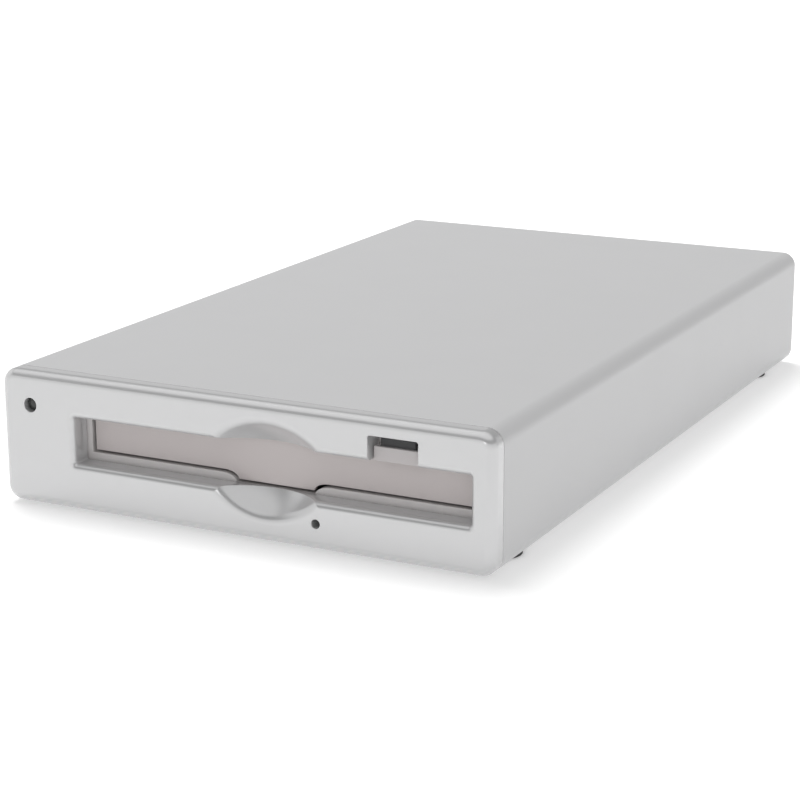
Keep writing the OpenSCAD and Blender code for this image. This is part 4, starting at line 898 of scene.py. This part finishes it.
# Rear panel, sockets and switch
# A moulded grey panel inside the case's back end, with sockets pushed through it from behind:
# plated shells with a tongue in the mouth, a black power inlet, and a rocker switch in its black
# housing.
rear_plastic = finish_of(
    "rear_plastic",
    (0.27, 0.27, 0.275),
    roughness=0.55,
    depth=0.22,
    worn=(0.34, 0.34, 0.34),
    wear=0.5,
)
plated = finish_of(
    "plated_shell",
    (0.6, 0.61, 0.62),
    metallic=0.95,
    roughness=0.3,
    mottle=0.05,
    mottle_scale=180.0,
    depth=0.06,
    worn=(0.75, 0.75, 0.75),
    wear=0.6,
)
black_plastic = finish_of(
    "black_plastic",
    (0.022, 0.022, 0.024),
    roughness=0.45,
    depth=0.2,
    worn=(0.06, 0.06, 0.06),
    wear=0.5,
)
for name, node, body, finish, width, slot in (
    ("panel", "rear_panel", "housing", rear_plastic, 0.15, "rear_grey"),
    ("usb_shell", "usb_socket", "housing", plated, 0.15, "zinc_steel"),
    ("firewire_shells", "firewire_sockets", "housing", plated, 0.15, "zinc_steel"),
    ("power_inlet", "dc_jack", "housing", black_plastic, 0.15, "black_plastic"),
    ("switch_body", "switch_housing", "housing", black_plastic, 0.2, "black_plastic"),
    ("rocker_key", "power_rocker", "rocker", black_plastic, 0.3, "black_plastic"),
):
    add_piece(name, softened(node, width), body, finish, [node])

# Sheet-metal parts
# Zinc-plated steel: the base plate and the parts bent from thin sheet inside the mechanism. The cam
# plate has a yellow chromate finish, so that it can be told from the parts it slides on.
zinc_sheet = finish_of(
    "zinc_sheet",
    (0.56, 0.57, 0.58),
    metallic=0.9,
    roughness=0.38,
    mottle=0.09,
    mottle_scale=240.0,
    grain=2500.0,
    depth=0.08,
    stretch=(1.0, 0.12, 1.0),
)


def dressed(finish, *nodes):
    """Puts a finish on CAD nodes that are shown as they are."""
    for node in nodes:
        mesh = cad_nodes[node].data
        for i in range(len(mesh.materials)):
            mesh.materials[i] = finish


dressed(
    zinc_sheet,
    "base_plate",
    "button_bracket",
    "drive_cover",
    "cartridge_holder",
    "gear_bracket",
    "magnet_yokes",
)
chromate = finish_of(
    "yellow_chromate",
    (0.56, 0.48, 0.26),
    metallic=0.85,
    roughness=0.36,
    mottle=0.16,
    mottle_scale=130.0,
    depth=0.08,
)
dressed(chromate, "slide_plate")

# Castings and turned parts
# The chassis, motor base and optics block are die cast, and the turntable is turned from alloy. The
# rails and the small screws are plain steel.
cast_alloy = finish_of(
    "cast_alloy",
    (0.42, 0.43, 0.44),
    metallic=0.8,
    roughness=0.5,
    mottle=0.12,
    mottle_scale=90.0,
    grain=2200.0,
    depth=0.35,
)
dressed(cast_alloy, "drive_chassis", "spindle_motor", "optics_block")
turned_alloy = finish_of(
    "turned_alloy", (0.7, 0.7, 0.71), metallic=0.95, roughness=0.26, grain=5000.0, depth=0.1
)
dressed(turned_alloy, "turntable")
dressed(
    screw_finish, "cover_screws", "mount_screws", "guide_rails", "drive_pcb_screws", "pcb_screws"
)

# Springs and motor can
# Drawn steel with a bright, even surface: the coiled wire of the flap's and the button's springs,
# and the can of the loading motor.
spring_steel = finish_of(
    "spring_steel", (0.5, 0.5, 0.52), metallic=0.95, roughness=0.28, mottle=0.06, depth=0.05
)
dressed(spring_steel, "flap_spring", "button_spring", "loading_motor")

# Circuit boards and their parts
# Green solder mask over copper, black chips, plugs and small mouldings, capacitors in blue sleeves,
# and the green indicator that shines into the light pipe.
solder_mask = finish_of(
    "solder_mask",
    (0.018, 0.105, 0.045),
    roughness=0.32,
    mottle=0.35,
    mottle_scale=420.0,
    depth=0.12,
    Coat_Weight=0.25,
)
dressed(solder_mask, "led_board", "photo_detector", "drive_pcb", "bridge_pcb")
dressed(
    black_plastic,
    "eject_switch",
    "pickup_carriage",
    "lens_holder",
    "drive_chips",
    "drive_header",
    "bridge_chips",
    "bridge_connector",
)
sleeve = finish_of("blue_sleeve", (0.015, 0.022, 0.09), roughness=0.25, mottle=0.1, Coat_Weight=0.3)
dressed(sleeve, "capacitors")
led_plastic = finish_of("led_lens", (0.12, 0.45, 0.14), roughness=0.2, mottle=0.12, depth=0.04)
dressed(led_plastic, "status_led")

# Gears, coils, magnets and glass
# Nylon idler, brass pinion, standoffs and laser can, enamelled copper coils, nickel-plated magnets,
# and the objective lens of coated glass.
nylon = finish_of("white_nylon", (0.7, 0.68, 0.6), roughness=0.42, mottle=0.05, depth=0.08)
dressed(nylon, "idler_gear")
turned_brass = finish_of(
    "turned_brass", (0.6, 0.44, 0.16), metallic=0.95, roughness=0.3, depth=0.08
)
dressed(turned_brass, "motor_pinion", "laser_diode", "pcb_standoffs")
enamel = finish_of(
    "enamelled_copper",
    (0.46, 0.16, 0.06),
    metallic=0.7,
    roughness=0.3,
    grain=9000.0,
    depth=0.4,
    stretch=(1.0, 1.0, 0.15),
)
dressed(enamel, "voice_coils", "bias_coil")
magnet = finish_of("nickel_magnet", (0.1, 0.1, 0.11), metallic=0.7, roughness=0.35, mottle=0.1)
dressed(magnet, "drive_magnets")
coated_glass = finish_of(
    "coated_glass",
    (0.7, 0.8, 0.92),
    roughness=0.04,
    spread=0.02,
    depth=0.0,
    Transmission_Weight=0.8,
)
dressed(coated_glass, "objective_lens")
